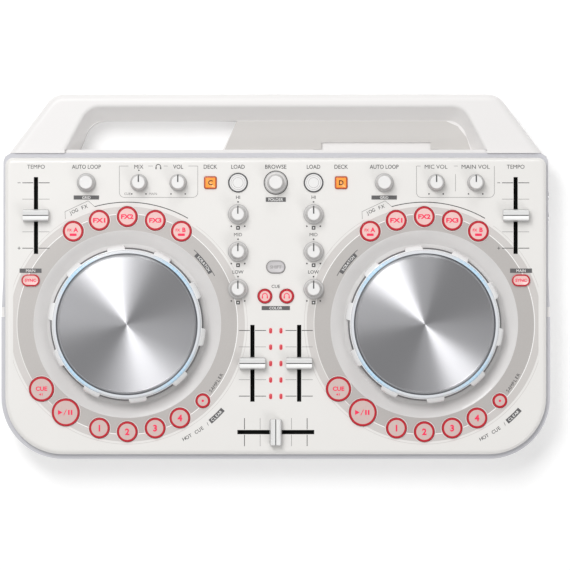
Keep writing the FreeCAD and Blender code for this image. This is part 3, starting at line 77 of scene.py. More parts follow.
class Shader:
    """A material with a Principled shader, and short names for adding nodes to it."""

    def __init__(self, name, colour, roughness, **sockets):
        self.material = bpy.data.materials.new(name)
        self.material.use_nodes = True
        self.tree = self.material.node_tree
        self.shader = self.tree.nodes["Principled BSDF"]
        self.shader.inputs["Base Color"].default_value = colour
        self.shader.inputs["Roughness"].default_value = roughness
        for socket, number in sockets.items():
            self.shader.inputs[socket.replace("_", " ")].default_value = number
        self.colour = colour
        self.material.diffuse_color = colour

    def node(self, kind, **inputs):
        added = self.tree.nodes.new(kind)
        for name, number in inputs.items():
            added.inputs[name.replace("_", " ")].default_value = number
        return added

    def link(self, source, target):
        self.tree.links.new(source, target)

    def noise(self, scale, detail=2.0):
        """A noise over the object's own coordinates; its output goes from 0 to 1."""
        place = self.node("ShaderNodeTexCoord")
        noise = self.node("ShaderNodeTexNoise", Scale=scale, Detail=detail)
        self.link(place.outputs["Object"], noise.inputs["Vector"])
        return noise.outputs["Fac"]

    def spread(self, source, low, high):
        """Maps a noise's usual span, 0.3 to 0.7, to low..high."""
        ramp = self.node("ShaderNodeMapRange", From_Min=0.3, From_Max=0.7, To_Min=low, To_Max=high)
        self.link(source, ramp.inputs["Value"])
        return ramp.outputs["Result"]

    def mix_base(self, share, first, second):
        """Makes the base colour a mix of two; the first may be the output of another node."""
        mix = self.node("ShaderNodeMix")
        mix.data_type = "RGBA"
        if isinstance(first, tuple):
            mix.inputs["A"].default_value = first
        else:
            self.link(first, mix.inputs["A"])
        mix.inputs["B"].default_value = second
        self.link(share, mix.inputs["Factor"])
        self.link(mix.outputs["Result"], self.shader.inputs["Base Color"])

    def vary_colour(self, source, amount):
        """Lets the base colour drift a little between a darker and a lighter tone."""
        darker = (*[c * (1 - amount) for c in self.colour[:3]], 1)
        lighter = (*[min(1, c * (1 + amount)) for c in self.colour[:3]], 1)
        self.mix_base(source, darker, lighter)

    def vary_roughness(self, source, low, high):
        self.link(self.spread(source, low, high), self.shader.inputs["Roughness"])

    def bump(self, source, strength, distance):
        bump = self.node("ShaderNodeBump", Strength=strength, Distance=distance)
        self.link(source, bump.inputs["Height"])
        self.link(bump.outputs["Normal"], self.shader.inputs["Normal"])

    def math(self, operation, first, second=None, third=None):
        node = self.node("ShaderNodeMath")
        node.operation = operation
        for socket, given in zip(node.inputs, (first, second, third)):
            if given is None:
                continue
            if isinstance(given, (int, float)):
                socket.default_value = given
            else:
                self.link(given, socket)
        return node.outputs["Value"]

    def distance(self, x, y):
        return self.math("SQRT", self.math("ADD", self.math("POWER", x, 2), self.math("POWER", y, 2)))


def moulded(name, colour, roughness=0.35, grain=2600.0, coat=0.0, **sockets):
    """Moulded plastic: a fine spark-eroded grain, and large soft drifts in tone and gloss."""
    made = Shader(name, colour, roughness, Coat_Weight=coat, **sockets)
    made.vary_colour(made.noise(14.0), 0.012)
    made.vary_roughness(made.noise(55.0), roughness - 0.04, roughness + 0.05)
    made.bump(made.noise(grain, 3.0), 0.12, 0.00004)
    return made


def tint_dishes(made, shade, radius):
    """Paints shade on the panel in the dishes round the jog wheels, which are mirror twins: inside a dish
    the panel is darkened as painted shade of the recess.
    """
    place = made.node("ShaderNodeTexCoord")
    split = made.node("ShaderNodeSeparateXYZ")
    made.link(place.outputs["Object"], split.inputs["Vector"])
    x = made.math("SUBTRACT", made.math("ABSOLUTE", split.outputs["X"]), DECKS["right"].x * MM)
    y = made.math("SUBTRACT", split.outputs["Y"], DECKS["right"].y * MM)
    inside = made.math("LESS_THAN", made.distance(x, y), radius * MM)
    made.mix_base(inside, made.shader.inputs["Base Color"].links[0].from_socket, shade)


def lit_plastic(name, colour, glow, strength, roughness=0.3):
    """Translucent plastic with a lamp behind it; the light is a little uneven."""
    made = Shader(name, colour, roughness, Emission_Color=glow, Emission_Strength=strength)
    made.vary_colour(made.noise(420.0), 0.05)
    made.bump(made.noise(3000.0), 0.08, 0.00003)
    return made


def ink(name, colour, roughness=0.45, metallic=0.0):
    """Screen printing: a thin even film with a faint mesh texture."""
    made = Shader(name, colour, roughness, Metallic=metallic)
    made.vary_colour(made.noise(900.0), 0.03)
    made.bump(made.noise(5200.0), 0.1, 0.00002)
    return made


def painted_silver(name, colour):
    """Silver paint: small flakes that catch the light differently."""
    made = Shader(name, colour, 0.5, Metallic=0.1)
    made.vary_colour(made.noise(6500.0, 1.0), 0.06)
    made.vary_roughness(made.noise(4000.0), 0.44, 0.56)
    return made


def bright_metal(name, colour, roughness):
    """Plated metal with faint polishing marks."""
    made = Shader(name, colour, roughness, Metallic=1.0)
    made.vary_colour(made.noise(700.0), 0.04)
    made.vary_roughness(made.noise(1500.0), roughness - 0.04, roughness + 0.05)
    return made


def from_axis(made):
    """The x and y of a point from the middle of its object's box, each from -0.5 to 0.5."""
    place = made.node("ShaderNodeTexCoord")
    shifted = made.node("ShaderNodeVectorMath")
    shifted.operation = "SUBTRACT"
    shifted.inputs[1].default_value = (0.5, 0.5, 0.5)
    made.link(place.outputs["Generated"], shifted.inputs[0])
    split = made.node("ShaderNodeSeparateXYZ")
    made.link(shifted.outputs["Vector"], split.inputs["Vector"])
    return split.outputs["X"], split.outputs["Y"]


def spun_metal(name, colour, roughness=0.26):
    """Aluminium faced on a lathe: rings too fine to see, which pull the light into wedges."""
    along_light = {"Anisotropic": 0.93, "Anisotropic_Rotation": 0.25}
    made = Shader(name, colour, roughness, Metallic=1.0, **along_light)
    tangent = made.node("ShaderNodeTangent")
    tangent.direction_type = "RADIAL"
    tangent.axis = "Z"
    made.link(tangent.outputs["Tangent"], made.shader.inputs["Tangent"])
    x, y = from_axis(made)
    rings = made.node("ShaderNodeTexNoise", Scale=420.0, Detail=3.0)
    rings.noise_dimensions = "1D"
    made.link(made.distance(x, y), rings.inputs["W"])
    made.vary_roughness(rings.outputs["Fac"], roughness - 0.01, roughness + 0.01)
    made.vary_colour(rings.outputs["Fac"], 0.05)
    return made


def lit_ring(name, clear, lit, glow, strength):
    """A clear ring with four lamps below it: tinted and glowing in four sectors, pale between."""
    made = Shader(name, clear, 0.12, Emission_Color=glow, Coat_Weight=0.5)
    x, y = from_axis(made)
    angle = made.math("ARCTAN2", y, x)
    wave = made.math("COSINE", made.math("MULTIPLY", angle, 4.0))
    sector = made.math("MAXIMUM", made.math("MULTIPLY_ADD", wave, -0.85, 0.15), 0.0)
    made.link(made.math("MULTIPLY", sector, strength), made.shader.inputs["Emission Strength"])
    rays = made.math("SINE", made.math("MULTIPLY", angle, 110.0))
    share = made.math("MULTIPLY", sector, made.math("MULTIPLY_ADD", rays, 0.2, 0.8))
    made.mix_base(share, clear, lit)
    return made


PANEL = moulded("panel_plastic", rgb(233, 231, 228), 0.33, coat=0.25)
# painted shade: the panel is darker inside the two recessed dishes round the jog wheels
tint_dishes(PANEL, rgb(216, 214, 213), 68.5)
CASE = moulded("case_plastic", rgb(233, 231, 230), 0.38)
SHELF = moulded("shelf_plastic", rgb(203, 200, 197), 0.5, grain=1800.0)
TRIM = painted_silver("trim_paint", rgb(200, 200, 205))
BOARD = moulded("board_lacquer", rgb(24, 36, 28), 0.5)
RUBBER = moulded("foot_rubber", rgb(38, 38, 40), 0.75, grain=1500.0)
STEEL = bright_metal("lever_steel", rgb(150, 150, 152), 0.3)
JOG = moulded("jog_plastic", rgb(238, 238, 238), 0.25, coat=0.5)
NOTCH = moulded("notch_shade", rgb(112, 112, 114), 0.5)
# The knobs are one white plastic, kept white on the crown: the neck, the skirt and the skirt's edge are
# greyer copies of it, as painted shade.
KNOB_SHADED = moulded("knob_plastic_painted_shade", rgb(204, 203, 202), 0.5)
SKIRT_EDGE_SHADE = moulded("knob_skirt_edge_painted_shade", rgb(192, 191, 190), 0.5)
KNOB_TOP = moulded("knob_top_plastic", rgb(234, 233, 232), 0.35, coat=0.2)
SKIRT_SHADED = moulded("knob_skirt_plastic_painted_shade", rgb(222, 220, 219), 0.45)
FADER = moulded("fader_plastic", rgb(238, 238, 237), 0.32, coat=0.3)
# painted shade: a greyer copy of the cap's white for the steep flanks and the ends of the fader caps
FADER_FLANK_SHADE = moulded("fader_flank_painted_shade", rgb(186, 186, 186), 0.35, coat=0.3)
LINE = moulded("pointer_paint", rgb(62, 62, 65), 0.5)
RED_RING = lit_plastic("key_ring_red", rgb(190, 24, 42), rgb(235, 25, 45), 0.04)
RED_FACE = lit_plastic("key_face_red", rgb(232, 196, 192), rgb(255, 120, 120), 0.05)
CLEAR_FACE = lit_plastic("key_face_clear", rgb(204, 186, 181), rgb(255, 120, 110), 0.05)
RED_MARK = lit_plastic("key_mark_red", rgb(226, 42, 84), rgb(255, 30, 80), 0.2)
ORANGE_RING = lit_plastic("key_ring_orange", rgb(196, 84, 34), rgb(240, 90, 20), 0.08)
ORANGE_FACE = lit_plastic("key_face_orange", rgb(250, 160, 66), rgb(255, 150, 40), 0.12)
ORANGE_MARK = lit_plastic("key_mark_dark", rgb(70, 38, 10), rgb(120, 60, 10), 0.02)
LOAD_RING = moulded("load_ring", rgb(92, 92, 95), 0.4)
LOAD_FACE = moulded("load_face", rgb(236, 235, 234), 0.25, coat=0.4)
GREY_KEY = moulded("grey_key_plastic", rgb(200, 197, 198), 0.45)
GREY_EDGE = moulded("grey_key_edge", rgb(172, 169, 170), 0.4)
GREY_MARK = ink("grey_key_mark", rgb(160, 157, 157))
SILVER_INK = ink("silver_ink", rgb(187, 183, 180), 0.4, 0.2)
PALE_INK = ink("pale_silver_ink", rgb(208, 204, 201), 0.4, 0.15)
WHITE_INK = ink("white_ink", rgb(248, 247, 245))
# painted light: a pale pink for the glow of the level lights on the panel round them
RED_GLOW_PAINT = ink("painted_red_glow", rgb(240, 218, 215))
GREY_INK = ink("grey_ink", rgb(138, 136, 135))
DARK_INK = ink("dark_ink", rgb(66, 65, 66))
TAG_GREY = ink("tag_ink", rgb(92, 91, 92))
BLACK = moulded("slot_black", rgb(7, 7, 8), 0.9, Specular_IOR_Level=0.1)
LIGHT = lit_plastic("level_light_red", rgb(200, 60, 72), rgb(255, 50, 60), 0.12)
CHROME = bright_metal("socket_chrome", rgb(210, 210, 213), 0.14)
RED_PLASTIC = moulded("socket_red_plastic", rgb(170, 36, 40), 0.35)
PLATE = spun_metal("spun_aluminium", rgb(184, 184, 187), 0.36)
# painted highlight: the plate's bevel is a lighter copy of the spun metal
PLATE_BEVEL_LIT = spun_metal("plate_bevel_painted_highlight", rgb(206, 207, 210), 0.3)
RING = lit_ring("lit_clear_ring", rgb(222, 225, 229), rgb(178, 212, 234), rgb(120, 200, 245), 0.13)
RING_EDGE = moulded("ring_inner_shade", rgb(112, 114, 120), 0.3)


# ---------------------------------------------------------------- meshes


def mesh_data(mesh, name):
    """Turns a bmesh drawn in millimetres into mesh data in metres."""
    bmesh.ops.scale(mesh, vec=(MM, MM, MM), verts=mesh.verts)
    data = bpy.data.meshes.new(name)
    mesh.to_mesh(data)
    mesh.free()
    return data


def add_object(name, data):
    """Puts an object in the scene."""
    added = bpy.data.objects.new(name, data)
    bpy.context.scene.collection.objects.link(added)
    return added


def finish_piece(name, mesh, materials, body, replaces=(), sharp=32.0):
    """Makes an object of a bmesh drawn in millimetres, and sets where it rides."""
    bmesh.ops.remove_doubles(mesh, verts=mesh.verts, dist=1e-5)
    bmesh.ops.recalc_face_normals(mesh, faces=mesh.faces)
    data = mesh_data(mesh, name)
    for made in materials:
        data.materials.append(made.material)
    for face in data.polygons:
        face.use_smooth = True
    data.set_sharp_from_angle(angle=math.radians(sharp))
    piece = add_object(name, data)
    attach(piece, body)
    if replaces:
        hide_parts(*replaces)
    return piece


def rounded(profile, radius, steps=3):
    """Rounds the inner corners of a profile of (r, z) points by a radius each, or none."""
    result = [profile[0]]
    for i in range(1, len(profile) - 1):
        here, size = Vector(profile[i][:2]), radius
        if len(profile[i]) > 2:
            size = profile[i][2]
        back, ahead = Vector(profile[i - 1][:2]) - here, Vector(profile[i + 1][:2]) - here
        turn = back.angle(ahead)
        reach = min(size / math.tan(turn / 2), back.length * 0.49, ahead.length * 0.49)
        if size <= 0 or turn > math.radians(176):
            result.append(tuple(here))
            continue
        start, end = here + back.normalized() * reach, here + ahead.normalized() * reach
        for step in range(steps + 1):
            t = step / steps
            point = start * (1 - t) ** 2 + here * 2 * t * (1 - t) + end * t**2
            result.append(tuple(point))
    result.append(profile[-1])
    return [point[:2] for point in result]


def lathe(mesh, profile, centre, segments=96, paint=None, radius_at=None):
    """Turns a profile of (r, z) round an upright axis. paint(r, z, angle) gives a face's material."""
    x, y, z = centre
    rings = []
    for r, height in profile:
        if r < 1e-6:
            rings.append([mesh.verts.new((x, y, z + height))])
            continue
        ring = []
        for i in range(segments):
            angle = 2 * math.pi * i / segments
            here = radius_at(r, height, angle) if radius_at else r
            ring.append(mesh.verts.new((x + here * math.cos(angle), y + here * math.sin(angle), z + height)))
        rings.append(ring)
    for k in range(len(rings) - 1):
        low, high = rings[k], rings[k + 1]
        r, height = [(a + b) / 2 for a, b in zip(profile[k][:2], profile[k + 1][:2])]
        for i in range(segments):
            j = (i + 1) % segments
            corners = [low[i % len(low)], low[j % len(low)], high[j % len(high)], high[i % len(high)]]
            unique = list(dict.fromkeys(corners))
            if len(unique) > 2:
                index = paint(r, height, 2 * math.pi * (i + 0.5) / segments) if paint else 0
                mesh.faces.new(unique).material_index = index


def prism(mesh, outline, low, high, index=0):
    """An upright prism over a flat outline of (x, y) points."""
    bottom = [mesh.verts.new((x, y, low)) for x, y in outline]
    top = [mesh.verts.new((x, y, high)) for x, y in outline]
    mesh.faces.new(top).material_index = index
    mesh.faces.new(bottom[::-1]).material_index = index
    count = len(outline)
    for i in range(count):
        j = (i + 1) % count
        mesh.faces.new((bottom[i], bottom[j], top[j], top[i])).material_index = index


def rounded_box(x, y, half_x, half_y, radius, steps=6):
    """The outline of a rectangle with rounded corners."""
    outline = []
    for k, (sx, sy) in enumerate(((1, 1), (-1, 1), (-1, -1), (1, -1))):
        for step in range(steps + 1):
            angle = math.pi / 2 * (k + step / steps)
            across, along = radius * math.cos(angle), radius * math.sin(angle)
            outline.append((x + sx * (half_x - radius) + across, y + sy * (half_y - radius) + along))
    return outline


def loft(mesh, outlines, index_of=None):
    """Joins outlines of the same number of (x, y, z) points, and closes both ends."""
    rings = [[mesh.verts.new(point) for point in outline] for outline in outlines]
    count = len(rings[0])
    for k in range(len(rings) - 1):
        for i in range(count):
            j = (i + 1) % count
            face = mesh.faces.new((rings[k][i], rings[k][j], rings[k + 1][j], rings[k + 1][i]))
            face.material_index = index_of(k) if index_of else 0
    mesh.faces.new(rings[-1]).material_index = index_of(len(rings) - 1) if index_of else 0
    mesh.faces.new(rings[0][::-1]).material_index = index_of(0) if index_of else 0


def cushion_key(mesh, x, y, half_x, half_y, corner, face_inset):
    """A flat-sided key: its rounded rim is material 0 and its face is material 1."""
    low, high = TOP - 2.4, TOP + 1.6
    levels = [(0, low), (0, high - 0.5), (0.15, high - 0.15), (0.5, high), (face_inset, high)]
    outlines = []
    for inset, z in levels:
        flat = rounded_box(x, y, half_x - inset, half_y - inset, max(corner - inset, 0.3))
        outlines.append([(px, py, z) for px, py in flat])
    inner_corner = max(corner - face_inset, 0.3)
    sunk = rounded_box(x, y, half_x - face_inset - 0.1, half_y - face_inset - 0.1, inner_corner)
    outlines.append([(px, py, high - 0.08) for px, py in sunk])
    loft(mesh, outlines, lambda k: 1 if k >= 4 else 0)


# ---------------------------------------------------------------- lettering and printed marks


def letters(text, x, y, z, height, angle=0.0, width=None, lift=WORD_INK, bold=0.008):
    """A mesh of a generic word or number, centred on x, y, with that capital height."""
    curve = bpy.data.curves.new("letters", "FONT")
    curve.body = text
    curve.align_x = "CENTER"
    curve.resolution_u = 3
    curve.offset = 0.0 if "M" in text else bold  # a bolder M closes up
    holder = add_object("letters", curve)
    data = bpy.data.meshes.new_from_object(holder.evaluated_get(bpy.context.evaluated_depsgraph_get()))
    bpy.data.objects.remove(holder)
    bpy.data.curves.remove(curve)
    flat = bmesh.new()
    flat.from_mesh(data)
    bpy.data.meshes.remove(data)
    xs = [v.co.x for v in flat.verts]
    cap = 0.693  # capital height of the font at size 1
    scale_y = height / cap
    scale_x = scale_y if width is None else width / (max(xs) - min(xs))
    centre_x = (max(xs) + min(xs)) / 2
    for face in flat.faces:
        face.normal_update()
        if face.normal.z < 0:
            face.normal_flip()
    raised = bmesh.ops.extrude_face_region(flat, geom=flat.faces[:])
    moved = [g for g in raised["geom"] if isinstance(g, bmesh.types.BMVert)]
    base = Matrix.Translation((x, y, z)) @ Matrix.Rotation(math.radians(angle), 4, "Z")
    risen = set(moved)
    for v in flat.verts:
        height_here = lift if v in risen else -0.03
        v.co = base @ Vector(((v.co.x - centre_x) * scale_x, (v.co.y - cap / 2) * scale_y, height_here))
    return flat


def merge(mesh, other, index=None):
    """Adds a bmesh to another; its faces keep their materials unless one is given."""
    for face in other.faces:
        if index is not None:
            face.material_index = index
    data = bpy.data.meshes.new("merge")
    other.to_mesh(data)
    other.free()
    mesh.from_mesh(data)
    bpy.data.meshes.remove(data)


def write(mesh, text, x, y, height, angle=0.0, index=0, z=None, width=None, lift=WORD_INK, bold=0.008):
    z = TOP if z is None else z
    merge(mesh, letters(text, x, y, z, height, angle, width, lift, bold), index)


def strip(mesh, x0, y0, x1, y1, width, index=0, z=None, lift=LINE_INK):
    """A thin printed line."""
    z = TOP if z is None else z
    along = Vector((x1 - x0, y1 - y0)).normalized()
    across = Vector((-along.y, along.x)) * width / 2
    a, b = Vector((x0, y0)), Vector((x1, y1))
    outline = [a - across, b - across, b + across, a + across]
    prism(mesh, [(p.x, p.y) for p in outline], z - 0.03, z + lift, index)


def polyline(mesh, points, width, index=0, z=None):
    for (x0, y0), (x1, y1) in zip(points, points[1:]):
        strip(mesh, x0, y0, x1, y1, width, index, z)


def on_deck(side, radius, angle):
    """A place round a deck's centre; the angle runs clockwise from the rear, in degrees."""
    centre, turn = DECKS[side], math.radians(angle)
    return centre.x + radius * math.sin(turn), centre.y + radius * math.cos(turn)


def arc_band(mesh, side, inner, outer, start, end, index=0, clip=None, lift=LINE_INK):
    """A band of a ring round a deck, cut off where |x| passes clip."""
    degrees_per_step = 1.5
    count = max(2, int(abs(end - start) / degrees_per_step))
    closed = abs(end - start) >= 359.9
    rows = []
    for i in range(count + (0 if closed else 1)):
        angle = start + (end - start) * i / count
        corners = []
        for radius in (inner, outer):
            x, y = on_deck(side, radius, angle)
            if clip and abs(x) > clip:
                x = math.copysign(clip, x)
            corners.append((x, y))
        (ax, ay), (bx, by) = corners
        low, high = TOP - 0.03, TOP + lift
        ends = ((ax, ay, low), (bx, by, low), (bx, by, high), (ax, ay, high))
        rows.append([mesh.verts.new(point) for point in ends])
    pairs = list(zip(rows, rows[1:] + rows[:1])) if closed else list(zip(rows, rows[1:]))
    for one, two in pairs:
        for k in range(4):
            j = (k + 1) % 4
            mesh.faces.new((one[k], one[j], two[j], two[k])).material_index = index
    if not closed:
        mesh.faces.new(rows[0][::-1]).material_index = index
        mesh.faces.new(rows[-1]).material_index = index


def round_key_radius(node):
    """The radius of a round key's cap: its flange stands 0.9 proud of it."""
    low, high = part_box(node)
    return (high.x - low.x) / MM / 2 - 0.9


def round_key_nodes():
    square = ("sync_key", "deck_key", "shift_key")
    return [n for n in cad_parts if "_key" in n and not n.startswith(square)]


def key_holes(side):
    """Upright solids where a deck's keys and fader slots are, to cut the printed rings with."""
    mesh = bmesh.new()
    for node in round_key_nodes():
        if node.endswith(side):
            centre = middle(node)
            radius = round_key_radius(node) + 0.85
            lathe(mesh, [(0, -2), (radius, -2), (radius, 2), (0, 2)], (centre.x, centre.y, TOP), 64)
    for fader in ("tempo", "channel"):
        slot = middle(f"{fader}_fader_{side}")
        slot_half_x, slot_half_y = 1.57, 28.02
        prism(mesh, rounded_box(slot.x, slot.y, slot_half_x, slot_half_y, 0.02, 1), TOP - 2, TOP + 2)
    return mesh


def cut_by(piece, cutter_mesh):
    """Cuts holes in a piece, and applies the result."""
    bmesh.ops.recalc_face_normals(cutter_mesh, faces=cutter_mesh.faces)
    cutter = add_object("cutter", mesh_data(cutter_mesh, "cutter"))
    boolean = piece.modifiers.new("holes", "BOOLEAN")
    boolean.operation = "DIFFERENCE"
    boolean.solver = "EXACT"
    boolean.object = cutter
    graph = bpy.context.evaluated_depsgraph_get()
    result = bpy.data.meshes.new_from_object(piece.evaluated_get(graph))
    piece.modifiers.clear()
    piece.data = result
    bpy.data.objects.remove(cutter)


def print_deck_rings():
    """The silver rings printed round each jog wheel, with the keys' holes cut out of them."""
    for side in SIDES:
        mesh = bmesh.new()
        arc_band(mesh, side, 68.3, 80.0, 0, 360, 0, clip=191.2, lift=RING_INK)
        arc_band(mesh, side, 80.6, 85.6, 0, 360, 1, clip=191.2, lift=RING_INK)
        piece = finish_piece(f"deck_rings_{side}", mesh, [SILVER_INK, PALE_INK], CHASSIS)
        cut_by(piece, key_holes(side))
        line = bmesh.new()
        arc_band(line, side, 80.0, 80.6, -76, 214, 0, clip=191.2)
        arc_band(line, side, 87.2, 87.5, 35, 330, 1, clip=191.2)
        thin = finish_piece(f"deck_lines_{side}", line, [WHITE_INK, PALE_INK], CHASSIS)
        cut_by(thin, key_holes(side))


def print_scale(mesh, x, y, half, step, inner_gap, sideways=False, count=5, skip_middle=False):
    """The lines beside a fader's slot; the end lines are darker."""
    for k in range(count):
        offset = (k - (count - 1) / 2) * step
        if skip_middle and k == count // 2:
            continue
        index = 1 if k in (0, count - 1) else 0
        width = 0.52 if index else 0.32
        for near, far in ((-half, -inner_gap), (inner_gap, half)):
            if sideways:
                strip(mesh, x + offset, y + near, x + offset, y + far, width, index)
            else:
                strip(mesh, x + near, y + offset, x + far, y + offset, width, index)


def tag(mesh, text, x, y, width, height, angle=0.0):
    """A dark printed tag with the word left pale in it."""
    turn = Matrix.Rotation(math.radians(angle), 2)
    corners = []
    for sx, sy in ((-1, -1), (1, -1), (1, 1), (-1, 1)):
        corner = turn @ Vector((sx * width / 2, sy * height / 2))
        corners.append((x + corner.x, y + corner.y))
    prism(mesh, corners, TOP - 0.03, TOP + WORD_INK, 3)
    write(mesh, text, x, y, height * 0.62, angle, 2, TOP, None, TAG_INK)


def row_word(mesh, text, x, width):
    """A word in the row along the panel's rear."""
    write(mesh, text, x, WORD_ROW, 2.9, index=1, width=width)


def tempo_marks(mesh):
    for side in SIDES:
        slot = middle(f"tempo_fader_{side}")
        print_scale(mesh, slot.x, slot.y, 9.9, 11.9, 1.9, skip_middle=True)
        for sign in (1, -1):
            strip(mesh, slot.x - 13.4, slot.y + sign * 23.8, slot.x - 11.2, slot.y + sign * 23.8, 0.4, 1)
        strip(mesh, slot.x - 12.3, slot.y - 24.9, slot.x - 12.3, slot.y - 22.7, 0.4, 1)
        row_word(mesh, "TEMPO", slot.x, 12.9)
    for side in SIDES:
        slot = middle(f"channel_fader_{side}")
        print_scale(mesh, slot.x, slot.y, 9.9, 11.95, 1.9, skip_middle=True)
    slot = middle("crossfader")
    print_scale(mesh, slot.x, slot.y, 10.2, 11.4, 1.9, sideways=True, skip_middle=True)


def rounded_frame(mesh, x0, x1, y0, y1, radius, breaks, width=0.3):
    """A printed frame whose top line is broken where the words stand."""
    spans, start = [], x0
    for low, high in breaks:
        spans.append((start, low))
        start = high
    spans.append((start, x1))
    for low, high in spans:
        if high - low > 0.5:
            strip(mesh, low, y1, high, y1, width, 0)
    points = [(x0, y1)]
    for k, (cx, cy) in enumerate(((x0 + radius, y0 + radius), (x1 - radius, y0 + radius))):
        for step in range(7):
            angle = math.radians(180 + 90 * k + 15 * step)
            points.append((cx + radius * math.cos(angle), cy + radius * math.sin(angle)))
    points.append((x1, y1))
    polyline(mesh, points, width, 0)


def headphones(mesh, x, y, size, index, z=None):
    """A small symbol of headphones: a band and two cups."""
    z = TOP if z is None else z
    points = []
    for step in range(13):
        angle = math.radians(-20 + 220 * step / 12)
        points.append((x + size * 0.5 * math.cos(angle), y + size * 0.5 * math.sin(angle)))
    polyline(mesh, points, size * 0.17, index, z)
    for sign in (1, -1):
        cup = rounded_box(x + sign * size * 0.5, y - size * 0.32, size * 0.13, size * 0.22, size * 0.06, 2)
        prism(mesh, cup, z - 0.03, z + WORD_INK, index)


def dot(mesh, x, y, radius, index, z=None):
    z = TOP if z is None else z
    prism(mesh, rounded_box(x, y, radius, radius, radius * 0.98, 3), z - 0.03, z + WORD_INK, index)


def rear_words(mesh):
    """The row of words at the rear, the tags under it, and a thin dark ring round the browse knob, painted
    as the shade of the gap round it.
    """
    for side in SIDES:
        loop = middle(f"loop_knob_{side}")
        row_word(mesh, "AUTO LOOP", loop.x, 21.0)
        tag(mesh, "GRID", loop.x, 57.5, 18.5, 3.0)
        deck, load = middle(f"deck_key_{side}"), middle(f"load_key_{side}")
        row_word(mesh, "DECK", deck.x, 9.8)
        row_word(mesh, "LOAD", load.x, 9.8)
        sync = middle(f"sync_key_{side}")
        tag(mesh, "MAIN", sync.x, 4.2, 16.0, 3.2)
    row_word(mesh, "BROWSE", 0, 15.4)
    browse = middle("browse_knob")
    # painted shade: a thin dark ring on the panel where the gap round the browse knob is in shade
    gap_shade_ring = [(8.25, -0.03), (8.8, -0.03), (8.8, 0.15), (8.25, 0.15), (8.25, -0.03)]
    lathe(mesh, gap_shade_ring, (browse.x, browse.y, TOP), 96, lambda *_: 1)
    tag(mesh, "FOLDER", 0, 56.0, 14.6, 3.3)


def level_marks(mesh):
    """The frames, words and dots round the level and mix knobs."""
    mix, level = middle("phones_mix_knob"), middle("phones_level_knob")
    rounded_frame(mesh, -113.9, -56.8, 57.6, 80.4, 3.5, [(-107.2, -92.8), (-89.5, -81.6), (-78.6, -63.6)])
    row_word(mesh, "MIX", mix.x, 6.6)
    row_word(mesh, "VOL", level.x, 7.4)
    headphones(mesh, -85.5, WORD_ROW, 3.4, 1)
    write(mesh, "CUE", -108.0, 60.2, 1.7, index=0)
    write(mesh, "MAIN", -89.4, 60.2, 1.7, index=0)
    mic, main = middle("microphone_level_knob"), middle("main_level_knob")
    rounded_frame(mesh, 102.4, 159.1, 57.6, 80.4, 3.5, [(105.4, 129.6), (132.6, 158.8)])
    strip(mesh, 130.8, 62.0, 130.8, 74.5, 0.3, 0)
    row_word(mesh, "MIC VOL", mic.x, 16.5)
    row_word(mesh, "MAIN VOL", main.x, 20.5)
    for knob in (mix, level, mic, main):
        for sign in (1, -1):
            dot(mesh, knob.x + sign * 5.2, 60.1, 0.55, 1)
    dot(mesh, mix.x, 77.3, 0.55, 1)


def tone_marks(mesh):
    """The words, dots and small squares round the tone knobs."""
    for side in SIDES:
        for band, word in (("high", "HI"), ("mid", "MID"), ("low", "LOW")):
            knob = middle(f"{band}_tone_knob_{side}")
            write(mesh, word, knob.x, knob.y + 12.4, 2.4, index=1)
            dot(mesh, knob.x, knob.y + 9.0, 0.6, 1)
            for sign in (1, -1):
                dot(mesh, knob.x + sign * 4.9, knob.y - 8.7, 0.6, 1)
            square = rounded_box(knob.x, knob.y - 9.9, 1.35, 1.35, 0.2, 1)
            prism(mesh, square, TOP - 0.03, TOP + WORD_INK, 1)
            inner = rounded_box(knob.x, knob.y - 9.9, 0.5, 0.5, 0.1, 1)
            prism(mesh, inner, TOP, TOP + TAG_INK, 2)


def print_words():
    """The words, dots, tags and frames on the panel, in dark and grey ink."""
    mesh = bmesh.new()
    tempo_marks(mesh)
    rear_words(mesh)
    level_marks(mesh)
    tone_marks(mesh)
    write(mesh, "CUE", 0, -7.2, 2.3, index=1)
    tag(mesh, "COLOR", 0, -23.0, 20.6, 3.0)
    for side in SIDES:
        deck_words(mesh, side)
    inks = [GREY_INK, DARK_INK, WHITE_INK, TAG_GREY]
    finish_piece("printed_words", mesh, inks, CHASSIS)


def words_on_arc(mesh, side, text, radius, angle, height, index, inward=False, lift=WORD_INK):
    """A word bent round a deck: each letter stands on the arc. Angles run clockwise from the rear."""
    advance = math.degrees(height * 1.02 / radius)
    count = len(text)
    for k, letter in enumerate(text):
        if letter == " ":
            continue
        offset = (k - (count - 1) / 2) * advance
        here = angle - offset if inward else angle + offset
        x, y = on_deck(side, radius, here)
        turn = 180 - here if inward else -here
        write(mesh, letter, x, y, height, turn, index, lift=lift)


